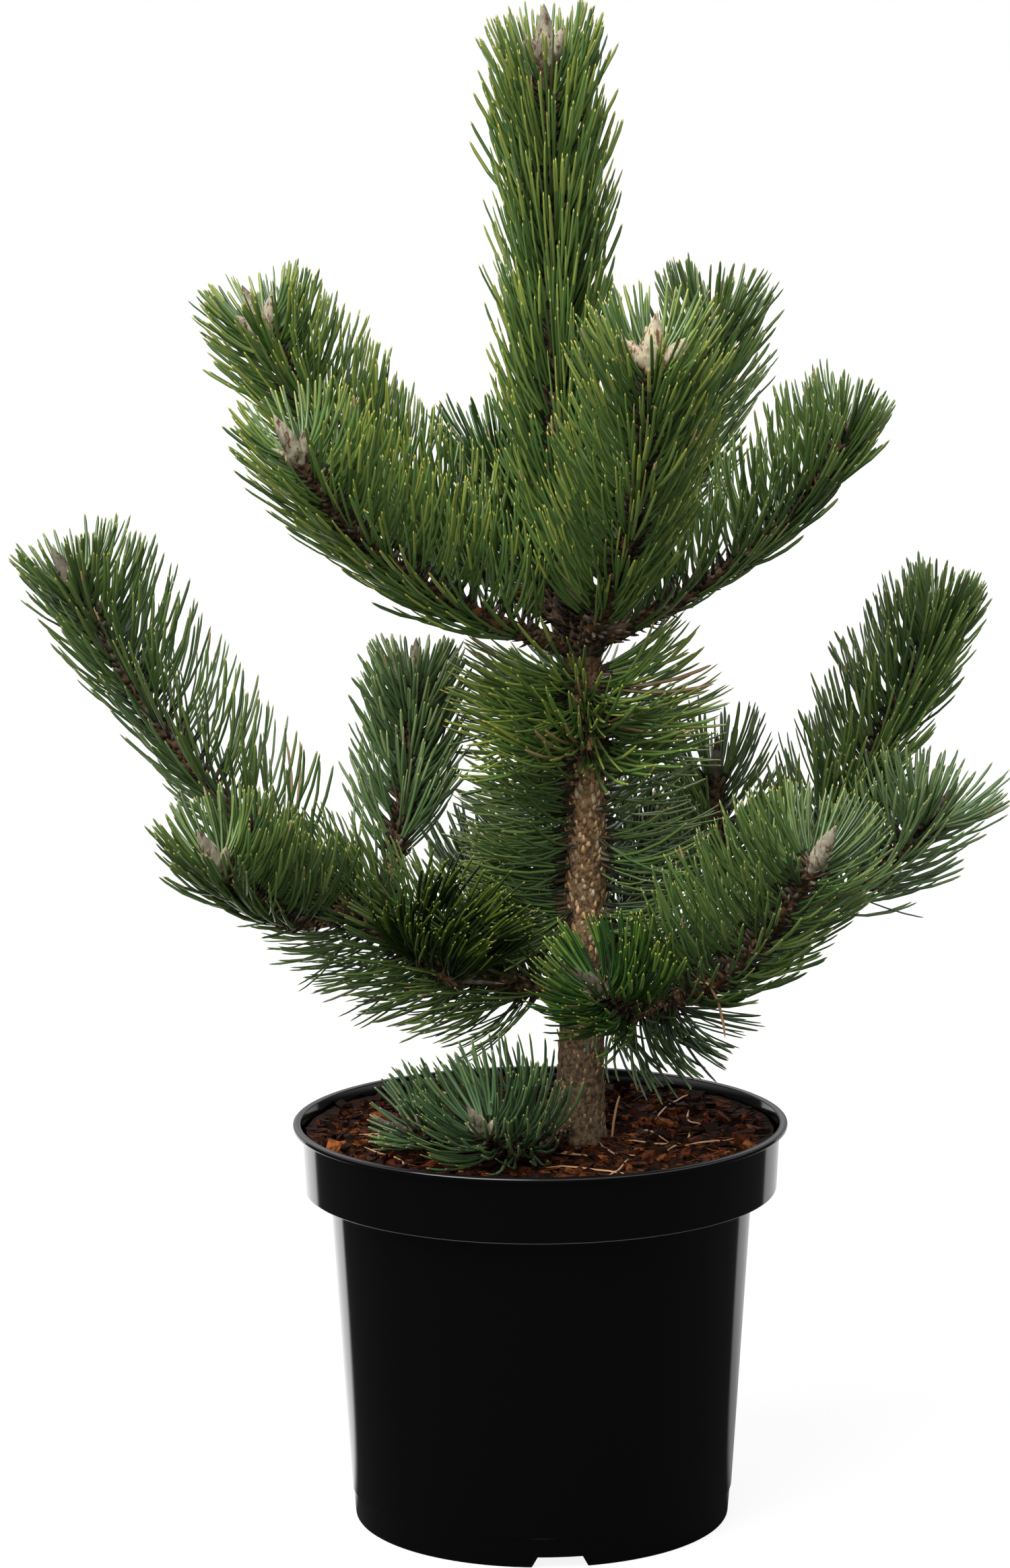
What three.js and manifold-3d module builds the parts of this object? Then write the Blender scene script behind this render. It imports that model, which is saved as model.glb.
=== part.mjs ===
// A young Austrian pine in a round black nursery pot.
// Millimetres and degrees. +Z is up, +X to the right and +Y to the back of the plant.
// The origin is the centre of the pot's flat underside.

import * as THREE from 'three';
import { mergeVertices } from 'three/addons/utils/BufferGeometryUtils.js';
import Module from 'manifold-3d';

const wasm = await Module();
wasm.setup();

// Driving dimensions

const GAP = 0.3; // clear space between two pieces that touch

const POT = {
  height: 229, rimRadius: 140, wall: 2, floor: 2.5, facets: 36,
  lipHeight: 7, lipDepth: 5.6, lipRound: 2.6,
  bandFoot: 190.7, bandFootRadius: 133.8, bandTopRadius: 135.6, bandRound: 1.5,
  shoulderRadius: 119.6, shoulderRise: 4, shoulderStep: 2.5,
  footRadius: 106.5, footRound: 2, ringHeight: 17, ringTaper: 1.2, ringStep: 0.8,
};
const DRAIN = {
  count: 3, heading: -85, footWidth: 33, topWidth: 25, height: 6.4,
  innerEnd: 62, roof: 2, holeRadius: 6, holeAt: 80,
};
const SOIL_TOP = 215;
const SOIL_EDGE = { drop: 3, width: 6 }; // it falls away at the wall

// The trunk leans right up to its upper whorl and then back over the pot: [x, z]
const TRUNK_LINE = [[21.5, SOIL_TOP], [24.5, 300], [26.5, 430], [25, 492], [13, 620], [9.5, 727], [5, 852]];
// Its radius up its length, from the root flare over two whorls to the end bud: [share, radius]
const TRUNK_RADIUS = [
  [0, 17.5], [0.02, 14.6], [0.06, 13.2], [0.12, 12.6], [0.14, 13.6], [0.17, 11.8],
  [0.34, 10.4], [0.42, 9.8], [0.45, 11.6], [0.475, 8.6], [0.53, 6.4], [0.66, 5],
  [0.93, 4.2], [0.95, 4], [0.962, 5.3], [0.98, 4.2], [1, 0.8],
];
const TRUNK_BENDS = [0.25, 0.6, 0.75, 0.84]; // shares that get a ring for the bend alone

// Each bough starts on the trunk at a height, or on another bough at a share of its length.
// heading is seen from above, 0 to the right and 90 to the back; reach and rise lead to its tip.
// leave and arrive are its slopes at both ends, turn swings it sideways, and bare is the share
// that carries no needles. radius is at its foot, needle is the length of a needle.
const BOUGHS = [
  {
    name: 'upper_left_back', on: 'trunk', at: 507, heading: 165, reach: 193, rise: 187,
    leave: 28, arrive: 66, turn: 0, bare: 0.17, radius: 4.9, needle: 66, shade: 'mid',
  },
  {
    name: 'upper_left_front', on: 'trunk', at: 496, heading: 207.7, reach: 183, rise: 132,
    leave: 18, arrive: 62, turn: 0, bare: 0.13, radius: 5.2, needle: 68, shade: 'bright',
  },
  {
    name: 'upper_front', on: 'trunk', at: 500, heading: -76, reach: 149, rise: 187,
    leave: 22, arrive: 80, turn: 0, bare: 0.12, radius: 5.2, needle: 72, shade: 'bright',
  },
  {
    name: 'upper_right_back', on: 'trunk', at: 508, heading: 54.7, reach: 147, rise: 183,
    leave: 30, arrive: 72, turn: 0, bare: 0.14, radius: 4.9, needle: 68, shade: 'mid',
  },
  {
    name: 'upper_right', on: 'trunk', at: 497, heading: 6.4, reach: 161, rise: 139,
    leave: 24, arrive: 66, turn: 0, bare: 0.24, radius: 5, needle: 64, shade: 'mid',
  },
  {
    name: 'upper_back', on: 'trunk', at: 503, heading: 119, reach: 109, rise: 111,
    leave: 30, arrive: 62, turn: 0, bare: 0.18, radius: 4.2, needle: 56, every: 3.4, shade: 'dark',
  },
  {
    name: 'lower_left', on: 'trunk', at: 300, heading: 176, reach: 296, rise: 246,
    leave: 12, arrive: 58, turn: 18, bare: 0.43, radius: 6.6, needle: 70, shade: 'mid',
  },
  {
    name: 'lower_left_front', on: 'lower_left', at: 0.355, heading: 232.8, reach: 119, rise: 58,
    leave: -10, arrive: 62, turn: 0, bare: 0.22, radius: 4.6, needle: 64, every: 2.8, shade: 'bright',
  },
  {
    name: 'lower_left_upright', on: 'lower_left', at: 0.31, heading: 62, reach: 52, rise: 156,
    leave: 52, arrive: 88, turn: 0, bare: 0.24, radius: 5, needle: 50, every: 2.9, shade: 'mid',
  },
  {
    name: 'lower_left_inner', on: 'lower_left', at: 0.25, heading: -44, reach: 72, rise: -12,
    leave: -10, arrive: 14, turn: -24, bare: 0.22, radius: 3.8, needle: 62, every: 2.2, shade: 'bright',
  },
  {
    name: 'lower_right_front', on: 'trunk', at: 300, heading: -47, reach: 192, rise: 111,
    leave: -2, arrive: 56, turn: 0, bare: 0.34, radius: 6.4, needle: 72, shade: 'bright',
  },
  {
    name: 'lower_front', on: 'lower_right_front', at: 0.28, heading: 236, reach: 92, rise: 34,
    leave: 0, arrive: 46, turn: 8, bare: 0.34, radius: 3.8, needle: 56, every: 2.2, shade: 'mid',
  },
  {
    name: 'lower_right_back', on: 'trunk', at: 306, heading: 23, reach: 243, rise: 210,
    leave: 2, arrive: 58, turn: 0, bare: 0.38, radius: 6.2, needle: 62, shade: 'dark',
  },
  {
    name: 'lower_right', on: 'lower_right_back', at: 0.25, heading: -1, reach: 140, rise: 91,
    leave: 10, arrive: 54, turn: 0, bare: 0.34, radius: 4.4, needle: 54, every: 3.2, shade: 'mid',
  },
  {
    name: 'lower_back_upright', on: 'lower_right_back', at: 0.19, heading: 80, reach: 76, rise: 121,
    leave: 40, arrive: 84, turn: -30, bare: 0.24, radius: 4.2, needle: 50, every: 2.9, shade: 'dark',
  },
  {
    name: 'lower_back_left', on: 'trunk', at: 305, heading: 115, reach: 166, rise: 62,
    leave: 4, arrive: 46, turn: 0, bare: 0.24, radius: 5, needle: 62, every: 3.6, shade: 'dark',
  },
  {
    name: 'lower_back_right', on: 'trunk', at: 299, heading: 74, reach: 172, rise: 94,
    leave: 4, arrive: 50, turn: 0, bare: 0.24, radius: 5, needle: 62, every: 3.6, shade: 'dark',
  },
  {
    name: 'foot_front', on: 'trunk', at: 229, heading: 237.8, reach: 118, rise: 34,
    leave: -6, arrive: 58, turn: 0, bare: 0.36, radius: 4, needle: 56, every: 1.5, shade: 'mid',
  },
  {
    name: 'foot_left', on: 'trunk', at: 227, heading: 206.6, reach: 112, rise: 8,
    leave: -4, arrive: 24, turn: 0, bare: 0.45, radius: 3.4, needle: 48, every: 2.0, shade: 'mid',
  },
];

// Needles that sit on wood which runs on through them. lean is the needle's angle to the wood,
// lift bends it upwards, and open is the half angle of the bark left showing to the front.
const SLEEVES = [
  {
    name: 'leader', on: 'trunk', from: 0.5, to: 0.938, every: 3.1, crowding: 1.2,
    needle: 68, lean: 36, tipLean: 22, sideLean: 0, lift: 0, open: 0, shade: 'mid',
  },
  {
    name: 'mid_trunk_upper', on: 'trunk', from: 0.345, to: 0.425, every: 0.95, crowding: 1,
    needle: 74, lean: 82, tipLean: 74, sideLean: 0, lift: 0.16, open: 0, shade: 'mid',
  },
  {
    name: 'mid_trunk_lower', on: 'trunk', from: 0.185, to: 0.335, every: 1.5, crowding: 1,
    needle: 72, lean: 84, tipLean: 80, sideLean: 0, lift: 0.2, open: 52, shade: 'dark',
  },
  {
    name: 'lower_left_wood', on: 'lower_left', from: 0.06, to: 0.42, every: 3.6, crowding: 1,
    needle: 60, lean: 56, tipLean: 50, sideLean: 0, lift: -0.2, open: 0, shade: 'dark',
  },
  {
    name: 'lower_right_wood', on: 'lower_right_front', from: 0.09, to: 0.325, every: 2,
    crowding: 1, needle: 58, lean: 62, tipLean: 54, sideLean: 0, lift: -0.3, open: 0, shade: 'dark',
  },
];

const WOOD = { tipRadius: 3.4, trunkSides: 10, sides: 6, ringEvery: 30 };
const BOUGH_HANDLE = 0.4; // a curve handle's length as a share of the bough's chord

// The green shoot inside a mass, and the sleeve of needle bases on wood that runs on
const CORE = { radius: 7, endRadius: 4.8, swellLength: 14, neckLength: 8, sides: 5, ringEvery: 38 };
const SLEEVE = { wall: 3.4, sides: 8, rootDepth: 0.55, openFrom: 5, openWidth: 40, openHeight: 200 };

const BUD = {
  length: 28, neck: 3.2, radius: 5, bulgeAt: 0.28, shoulder: 0.72, shoulderAt: 0.65, point: 0.8,
  sideLength: 19, sideRadius: 3.4, sideDepth: 3, sideRoll: 0.5, sideSpread: 0.7, sides: 5,
};

// every is the distance along the shoot from one needle to the next. Angles are in degrees:
// lean is the mean angle to the shoot, more by sideLean on its upper side, and tipLean at its tip.
const NEEDLE = {
  radius: 2, sides: 3, every: 4.6, crowding: 1.35, rootMargin: 8, tries: 6,
  lean: 42, sideLean: 14, tipLean: 26, leanJitter: 6, rollJitter: 0.4, lift: 0.22, leastOutward: 0.1,
  shortest: 0.88, tipLength: 0.66, leanPower: 5, lengthPower: 6,
};

// What a needle keeps clear of: runs of wood this long, the pot's rim, and the soil
const CLEARANCE = { runLength: 15, rim: 3, wallWidth: 12, above: 2 };

const COLOURS = {
  bright: 0x3f6a2a, mid: 0x305a2c, dark: 0x24482c,
  bark: 0x6b5140, pot: 0x08080a, soil: 0x4a2415,
};
const ROUGHNESS = { needles: 0.7, bark: 0.9, pot: 0.25, soil: 0.95 };

// Shared helpers

const UP = new THREE.Vector3(0, 0, 1);
const GOLDEN_ANGLE = Math.PI * (3 - Math.sqrt(5));
const radians = THREE.MathUtils.degToRad;

function seeded(seed) {
  let state = seed;
  return (low, high) => {
    state = (state * 1664525 + 1013904223) % 4294967296;
    return low + (high - low) * (state / 4294967296);
  };
}

// Value at x on a line drawn through [x, value] stations
function along(stations, x) {
  const next = stations.findIndex(([at]) => at >= x);
  if (next === 0) return stations[0][1];
  if (next < 0) return stations[stations.length - 1][1];
  const [x0, y0] = stations[next - 1];
  const [x1, y1] = stations[next];
  return y0 + ((y1 - y0) * (x - x0)) / (x1 - x0);
}

function toSolid(geometry) {
  const bare = geometry.clone();
  bare.deleteAttribute('normal');
  bare.deleteAttribute('uv');
  const merged = mergeVertices(bare, 1e-4);
  return new wasm.Manifold(new wasm.Mesh({
    numProp: 3,
    vertProperties: new Float32Array(merged.attributes.position.array),
    triVerts: new Uint32Array(merged.index.array),
  }));
}

function largestBody(solid) {
  return solid.decompose().reduce((best, piece) => (piece.volume() > best.volume() ? piece : best));
}

function toMesh(name, solid, colour, roughness) {
  const mesh = solid.getMesh();
  const geometry = new THREE.BufferGeometry();
  geometry.setAttribute('position', new THREE.BufferAttribute(new Float32Array(mesh.vertProperties), 3));
  geometry.setIndex(new THREE.BufferAttribute(new Uint32Array(mesh.triVerts), 1));
  geometry.computeVertexNormals();
  const material = new THREE.MeshStandardMaterial({ color: colour, roughness, metalness: 0 });
  const result = new THREE.Mesh(geometry, material);
  result.name = name;
  return result;
}

// Pot and soil

function lathe(profile) {
  const points = profile.map(([radius, z]) => new THREE.Vector2(radius, z));
  return toSolid(new THREE.LatheGeometry(points, POT.facets).rotateX(Math.PI / 2));
}

// The cavity's wall from the floor's edge to the lip's inner edge, moved in by `inset`
function cavityWall(inset) {
  const inside = POT.wall + inset;
  const shelf = POT.bandFoot + POT.wall;
  return [
    [POT.footRadius - POT.footRound - inside, POT.floor + inset],
    [POT.footRadius - inside, POT.floor + POT.footRound + inset],
    [POT.footRadius + POT.ringTaper - inside, POT.ringHeight],
    [POT.shoulderRadius - inside, shelf - POT.shoulderRise],
    [POT.shoulderRadius + POT.shoulderStep - inside, shelf + inset],
    [POT.bandFootRadius - inside, shelf + POT.bandRound + inset],
  ];
}

function potShell() {
  const lipFoot = POT.height - POT.lipHeight;
  const ringRadius = POT.footRadius + POT.ringTaper;
  return lathe([
    [0, 0],
    [POT.footRadius - POT.footRound, 0],
    [POT.footRadius, POT.footRound],
    [ringRadius, POT.ringHeight],
    [ringRadius + POT.ringStep, POT.ringHeight + POT.ringStep],
    [POT.shoulderRadius, POT.bandFoot - POT.shoulderRise],
    [POT.shoulderRadius + POT.shoulderStep, POT.bandFoot - POT.bandRound / 2],
    [POT.bandFootRadius - POT.bandRound, POT.bandFoot],
    [POT.bandFootRadius, POT.bandFoot + POT.bandRound],
    [POT.bandTopRadius, lipFoot - POT.wall],
    [POT.rimRadius - POT.wall / 2, lipFoot],
    [POT.rimRadius, lipFoot + POT.wall],
    [POT.rimRadius, POT.height - POT.lipRound],
    [POT.rimRadius - POT.lipRound, POT.height],
    [POT.rimRadius - POT.lipDepth, POT.height - POT.lipRound / 2],
    ...cavityWall(0).reverse(),
    [0, POT.floor],
  ]);
}

// A channel across the underside, from its inner end out through the foot, grown by `extra`
function drainPrism(heading, extra, outerEnd) {
  const foot = DRAIN.footWidth / 2 + extra;
  const head = DRAIN.topWidth / 2 + extra;
  const section = new THREE.Shape([
    new THREE.Vector2(-foot, -1), new THREE.Vector2(foot, -1),
    new THREE.Vector2(head, DRAIN.height + extra), new THREE.Vector2(-head, DRAIN.height + extra),
  ]);
  const innerEnd = DRAIN.innerEnd - extra;
  const prism = new THREE.ExtrudeGeometry(section, { depth: outerEnd - innerEnd, bevelEnabled: false });
  prism.rotateX(Math.PI / 2).translate(0, outerEnd, 0).rotateZ(heading - Math.PI / 2);
  return toSolid(prism);
}

function drainHole(heading) {
  const hole = new THREE.CylinderGeometry(DRAIN.holeRadius, DRAIN.holeRadius, 3 * DRAIN.roof, 16);
  hole.rotateX(Math.PI / 2).translate(DRAIN.holeAt, 0, DRAIN.height + DRAIN.roof / 2).rotateZ(heading);
  return toSolid(hole);
}

function drainHeadings() {
  return Array.from({ length: DRAIN.count }, (_, i) => radians(DRAIN.heading + (360 * i) / DRAIN.count));
}

// A block wider than the pot, from height z up
function blockUpFrom(z) {
  const side = 4 * POT.rimRadius;
  return new THREE.BoxGeometry(side, side, side).translate(0, 0, z + side / 2);
}

function makePot() {
  let pot = potShell();
  const inWall = POT.footRadius - POT.wall / 2;
  const aboveGround = toSolid(blockUpFrom(0));
  for (const heading of drainHeadings()) {
    pot = pot.add(drainPrism(heading, DRAIN.roof, inWall).intersect(aboveGround));
  }
  for (const heading of drainHeadings()) {
    pot = pot.subtract(drainPrism(heading, 0, POT.rimRadius)).subtract(drainHole(heading));
  }
  return pot;
}

function makeSoil() {
  const wallAtTop = POT.bandTopRadius - POT.wall - POT.bandRound;
  let soil = lathe([
    [0, POT.floor + GAP],
    ...cavityWall(GAP),
    [wallAtTop - GAP, SOIL_TOP - SOIL_EDGE.drop],
    [wallAtTop - SOIL_EDGE.width, SOIL_TOP],
    [0, SOIL_TOP],
  ]);
  for (const heading of drainHeadings()) {
    soil = soil.subtract(drainPrism(heading, DRAIN.roof + GAP, POT.footRadius));
  }
  return soil;
}

// Wood

// A place on a limb: its centre, its direction and two directions across it
function placeOn(limb, share) {
  const point = limb.curve.getPointAt(share);
  const tangent = limb.curve.getTangentAt(share);
  const side = limb.sideways.clone().addScaledVector(tangent, -limb.sideways.dot(tangent)).normalize();
  return { point, tangent, side, other: side.clone().cross(tangent) };
}

// A direction across a limb, turned about it by `roll`
function across(place, roll) {
  return place.side.clone().multiplyScalar(Math.cos(roll)).addScaledVector(place.other, Math.sin(roll));
}

// A closed tube round a limb's line, with one ring at each share in `rings`
function tube(limb, rings, radiusAt, sides) {
  const last = rings.length - 1;
  const geometry = new THREE.CylinderGeometry(1, 1, 1, sides, last);
  const position = geometry.attributes.position;
  for (let i = 0; i < position.count; i += 1) {
    const share = rings[Math.round((position.getY(i) + 0.5) * last)];
    const place = placeOn(limb, share);
    const radius = radiusAt(share);
    place.point.addScaledVector(place.side, position.getX(i) * radius);
    place.point.addScaledVector(place.other, position.getZ(i) * radius);
    position.setXYZ(i, place.point.x, place.point.y, place.point.z);
  }
  return toSolid(geometry);
}

function evenRings(from, to, length, every) {
  const count = Math.max(1, Math.round(((to - from) * length) / every));
  return Array.from({ length: count + 1 }, (_, i) => from + ((to - from) * i) / count);
}

function makeTrunk() {
  const points = TRUNK_LINE.map(([x, z]) => new THREE.Vector3(x, 0, z));
  const curve = new THREE.CatmullRomCurve3(points, false, 'centripetal');
  const sideways = new THREE.Vector3(0, 1, 0);
  const limb = { name: 'trunk', curve, sideways, length: curve.getLength() };
  limb.radiusAt = (share) => along(TRUNK_RADIUS, share);
  limb.rings = [...TRUNK_RADIUS.map(([share]) => share), ...TRUNK_BENDS].sort((a, b) => a - b);
  // The cut at the foot is level, whatever way the trunk leaves the soil
  const aboveSoil = toSolid(blockUpFrom(SOIL_TOP + GAP));
  limb.solid = tube(limb, limb.rings, limb.radiusAt, WOOD.trunkSides).intersect(aboveSoil);
  limb.cutter = tube(limb, limb.rings, (share) => limb.radiusAt(share) + GAP, WOOD.trunkSides);
  return limb;
}

function startOn(parent, at) {
  const share = parent.name === 'trunk' ? (at - SOIL_TOP) / (TRUNK_LINE.at(-1)[1] - SOIL_TOP) : at;
  return parent.curve.getPointAt(share);
}

function headingVector(heading, slope) {
  const level = new THREE.Vector3(Math.cos(radians(heading)), Math.sin(radians(heading)), 0);
  return level.multiplyScalar(Math.cos(radians(slope))).addScaledVector(UP, Math.sin(radians(slope)));
}

function boughLimb(bough, parent) {
  const start = startOn(parent, bough.at);
  const run = headingVector(bough.heading, 0).multiplyScalar(bough.reach).addScaledVector(UP, bough.rise);
  const tip = start.clone().add(run);
  const handle = run.length() * BOUGH_HANDLE;
  const curve = new THREE.CubicBezierCurve3(
    start,
    start.clone().addScaledVector(headingVector(bough.heading + bough.turn, bough.leave), handle),
    tip.clone().addScaledVector(headingVector(bough.heading - bough.turn, bough.arrive), -handle),
    tip,
  );
  const sideways = headingVector(bough.heading + 90, 0);
  const limb = { name: bough.name, curve, sideways, length: curve.getLength() };
  limb.radiusAt = (share) => THREE.MathUtils.lerp(bough.radius, WOOD.tipRadius, share);
  limb.rings = evenRings(0, bough.bare, limb.length, WOOD.ringEvery);
  return limb;
}

// A bough is cut back from whatever wood was there before it
function cutBough(limb, woodBefore) {
  let solid = tube(limb, limb.rings, limb.radiusAt, WOOD.sides);
  for (const other of woodBefore) solid = solid.subtract(other.cutter);
  limb.solid = largestBody(solid);
  limb.cutter = tube(limb, limb.rings, (share) => limb.radiusAt(share) + GAP, WOOD.sides);
}

// Needles

// Straight runs that nothing else may touch: wood, shoot cores and the needles placed so far
const taken = [];

// An owner's own core is free to its own needles, whose roots start inside it.
function claimTube(owner, limb, from, to, radiusAt, core) {
  const shares = evenRings(from, to, limb.length, CLEARANCE.runLength);
  for (let i = 1; i < shares.length; i += 1) {
    const [low, high] = [shares[i - 1], shares[i]];
    const line = new THREE.Line3(limb.curve.getPointAt(low), limb.curve.getPointAt(high));
    taken.push({ owner, line, core, startRadius: radiusAt(low), endRadius: radiusAt(high) });
  }
}

function radiusNear(run, point) {
  const share = run.line.start.distanceTo(point) / run.line.distance();
  return THREE.MathUtils.lerp(run.startRadius, run.endRadius, share);
}

// Whether a needle is clear of everything but its own core and the wood inside that
function isFree(run) {
  const mine = new THREE.Vector3();
  const theirs = new THREE.Vector3();
  const clearOfRuns = taken.every((other) => {
    if (other.owner === run.wood || (other.owner === run.owner && other.core)) return true;
    const distance = Math.sqrt(run.line.distanceSqToLine3(other.line, mine, theirs));
    return distance > radiusNear(run, mine) + radiusNear(other, theirs) + GAP;
  });
  return clearOfRuns && [0.25, 0.5, 0.75, 1].every((share) => {
    const point = run.line.at(share, new THREE.Vector3());
    const radius = Math.hypot(point.x, point.y);
    if (radius > POT.rimRadius + CLEARANCE.rim) return true;
    const overWall = radius > POT.bandFootRadius - CLEARANCE.wallWidth;
    return point.z > (overWall ? POT.height : SOIL_TOP) + CLEARANCE.above;
  });
}

// A cone from the start of a line to its end
function spike(line, radius, sides) {
  const length = line.distance();
  const direction = line.delta(new THREE.Vector3()).normalize();
  const cone = new THREE.ConeGeometry(radius, length, sides).translate(0, length / 2, 0);
  cone.applyQuaternion(new THREE.Quaternion().setFromUnitVectors(new THREE.Vector3(0, 1, 0), direction));
  return toSolid(cone.translate(line.start.x, line.start.y, line.start.z));
}

// The way a needle points, at an angle to the wood and bent up or down by the lift
function needleDirection(place, radial, shoot, along01, random) {
  const meanLean = THREE.MathUtils.lerp(shoot.lean, shoot.tipLean, along01 ** shoot.leanPower);
  const jitter = random(-shoot.leanJitter, shoot.leanJitter);
  const lean = radians(meanLean + shoot.sideLean * radial.z + jitter);
  const direction = place.tangent.clone().multiplyScalar(Math.cos(lean));
  direction.addScaledVector(radial, Math.sin(lean));
  return direction.addScaledVector(UP, shoot.lift * (1 - Math.abs(place.tangent.z))).normalize();
}

// Sets needles in a spiral up the shoot and returns the core with them fused on.
// rootRadius is how deep they start, skinRadius where they come out of the core.
function addNeedles(core, limb, shoot) {
  const random = seeded(shoot.seed);
  const count = Math.round(((shoot.to - shoot.from) * limb.length) / shoot.every);
  let solid = core;
  for (let k = 0; k < count; k += 1) {
    for (let attempt = 0; attempt < shoot.tries; attempt += 1) {
      const along01 = 1 - (1 - (k + random(0.1, 0.9)) / count) ** shoot.crowding;
      const share = THREE.MathUtils.lerp(shoot.from, shoot.to, along01);
      const place = placeOn(limb, share);
      const roll = k * GOLDEN_ANGLE + random(-shoot.rollJitter, shoot.rollJitter) * (attempt + 1);
      const radial = across(place, roll);
      const direction = needleDirection(place, radial, shoot, along01, random);
      const outward = direction.dot(radial);
      const openToFront = shoot.open > 0 && Math.acos(-radial.y) < radians(shoot.open);
      if (outward < shoot.leastOutward || openToFront) continue;
      const root = place.point.clone().addScaledVector(radial, shoot.rootRadius(share));
      const depth = (shoot.skinRadius(share) - shoot.rootRadius(share)) / outward;
      const skin = root.clone().addScaledVector(direction, depth);
      const shortening = THREE.MathUtils.lerp(1, shoot.tipLength, along01 ** shoot.lengthPower);
      const length = shoot.needle * shortening * random(shoot.shortest, 1);
      const tip = skin.clone().addScaledVector(direction, length);
      const base = skin.clone().addScaledVector(direction, -Math.min(shoot.radius * 2, depth));
      const run = { ...shoot.owners, line: new THREE.Line3(base, tip) };
      if (!isFree({ ...run, startRadius: shoot.radius, endRadius: 0 })) continue;
      taken.push({ ...run, startRadius: shoot.radius, endRadius: 0 });
      solid = solid.add(spike(new THREE.Line3(root, tip), shoot.radius, shoot.sides));
      break;
    }
  }
  return solid;
}

// A shoot beyond its bare wood: a core that narrows to a neck, with its end bud
function shootCore(bough, limb) {
  const start = bough.bare + GAP / limb.length;
  const neck = 1 - BUD.length / limb.length;
  const swollen = start + CORE.swellLength / limb.length;
  const narrowing = neck - CORE.neckLength / limb.length;
  const radii = [
    [start, limb.radiusAt(start)],
    [swollen, CORE.radius],
    [narrowing, CORE.endRadius],
    [neck, BUD.neck],
    [THREE.MathUtils.lerp(neck, 1, BUD.bulgeAt), BUD.radius],
    [THREE.MathUtils.lerp(neck, 1, BUD.shoulderAt), BUD.radius * BUD.shoulder],
    [1, BUD.point],
  ];
  const middle = evenRings(swollen, narrowing, limb.length, CORE.ringEvery).slice(1, -1);
  const rings = [...radii.map(([share]) => share), ...middle].sort((a, b) => a - b);
  const radiusAt = (share) => along(radii, share);
  return { solid: tube(limb, rings, radiusAt, CORE.sides), rings, radiusAt, start, neck };
}

// Two side buds that spread from the neck of the end bud
function sideBudLines(limb, neck) {
  const place = placeOn(limb, neck);
  const root = place.point.clone().addScaledVector(place.tangent, -BUD.sideDepth);
  return [0, 1].map((i) => {
    const radial = across(place, i * Math.PI + BUD.sideRoll);
    const direction = place.tangent.clone().addScaledVector(radial, BUD.sideSpread).normalize();
    return new THREE.Line3(root, root.clone().addScaledVector(direction, BUD.sideLength));
  });
}

// A thin sleeve that the wood runs through, clear of it all round
function sleeveCore(sleeve, limb) {
  const outer = (share) => limb.radiusAt(share) + GAP + SLEEVE.wall;
  const inRange = limb.rings.filter((share) => share > sleeve.from && share < sleeve.to);
  const round = tube(limb, [sleeve.from, ...inRange, sleeve.to], outer, SLEEVE.sides);
  let solid = round.subtract(limb.cutter);
  for (const bough of BOUGHS.filter(({ on }) => on === sleeve.on)) {
    const child = wood[bough.name];
    const grown = tube(child, child.core.rings, (share) => child.core.radiusAt(share) + GAP, CORE.sides);
    solid = solid.subtract(child.cutter).subtract(grown);
  }
  solid = largestBody(solid);
  if (sleeve.open > 0) {
    const middle = placeOn(limb, (sleeve.from + sleeve.to) / 2).point;
    const front = new THREE.BoxGeometry(SLEEVE.openWidth, SLEEVE.openWidth, SLEEVE.openHeight);
    front.translate(middle.x, -SLEEVE.openWidth / 2 - SLEEVE.openFrom, middle.z);
    solid = solid.subtract(toSolid(front));
  }
  return { solid, outer };
}

// Assembly

const wood = { trunk: makeTrunk() };
for (const bough of BOUGHS) {
  const limb = boughLimb(bough, wood[bough.on]);
  cutBough(limb, Object.values(wood));
  wood[bough.name] = limb;
}

claimTube('trunk', wood.trunk, 0, 1, wood.trunk.radiusAt, false);
for (const bough of BOUGHS) {
  const limb = wood[bough.name];
  claimTube(`${bough.name} wood`, limb, 0, bough.bare, limb.radiusAt, false);
  limb.core = shootCore(bough, limb);
  claimTube(bough.name, limb, limb.core.start, 1, limb.core.radiusAt, true);
  limb.buds = sideBudLines(limb, limb.core.neck);
  for (const line of limb.buds) {
    taken.push({ owner: bough.name, line, startRadius: BUD.sideRadius, endRadius: 0 });
  }
}
const sleeveCores = SLEEVES.map((sleeve) => {
  const core = sleeveCore(sleeve, wood[sleeve.on]);
  claimTube(sleeve.name, wood[sleeve.on], sleeve.from, sleeve.to, core.outer, true);
  return core;
});

function shootMass(bough, seed) {
  const limb = wood[bough.name];
  const { core } = limb;
  const sprays = addNeedles(core.solid, limb, {
    ...NEEDLE, ...bough, seed, open: 0, owners: { owner: bough.name },
    from: core.start + NEEDLE.rootMargin / limb.length, to: core.neck,
    radius: NEEDLE.radius, rootRadius: () => 0, skinRadius: core.radiusAt,
  });
  const addBud = (solid, line) => solid.add(spike(line, BUD.sideRadius, BUD.sides));
  const solid = limb.buds.reduce(addBud, sprays);
  return toMesh(`${bough.name}_needles`, solid, COLOURS[bough.shade], ROUGHNESS.needles);
}

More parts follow.
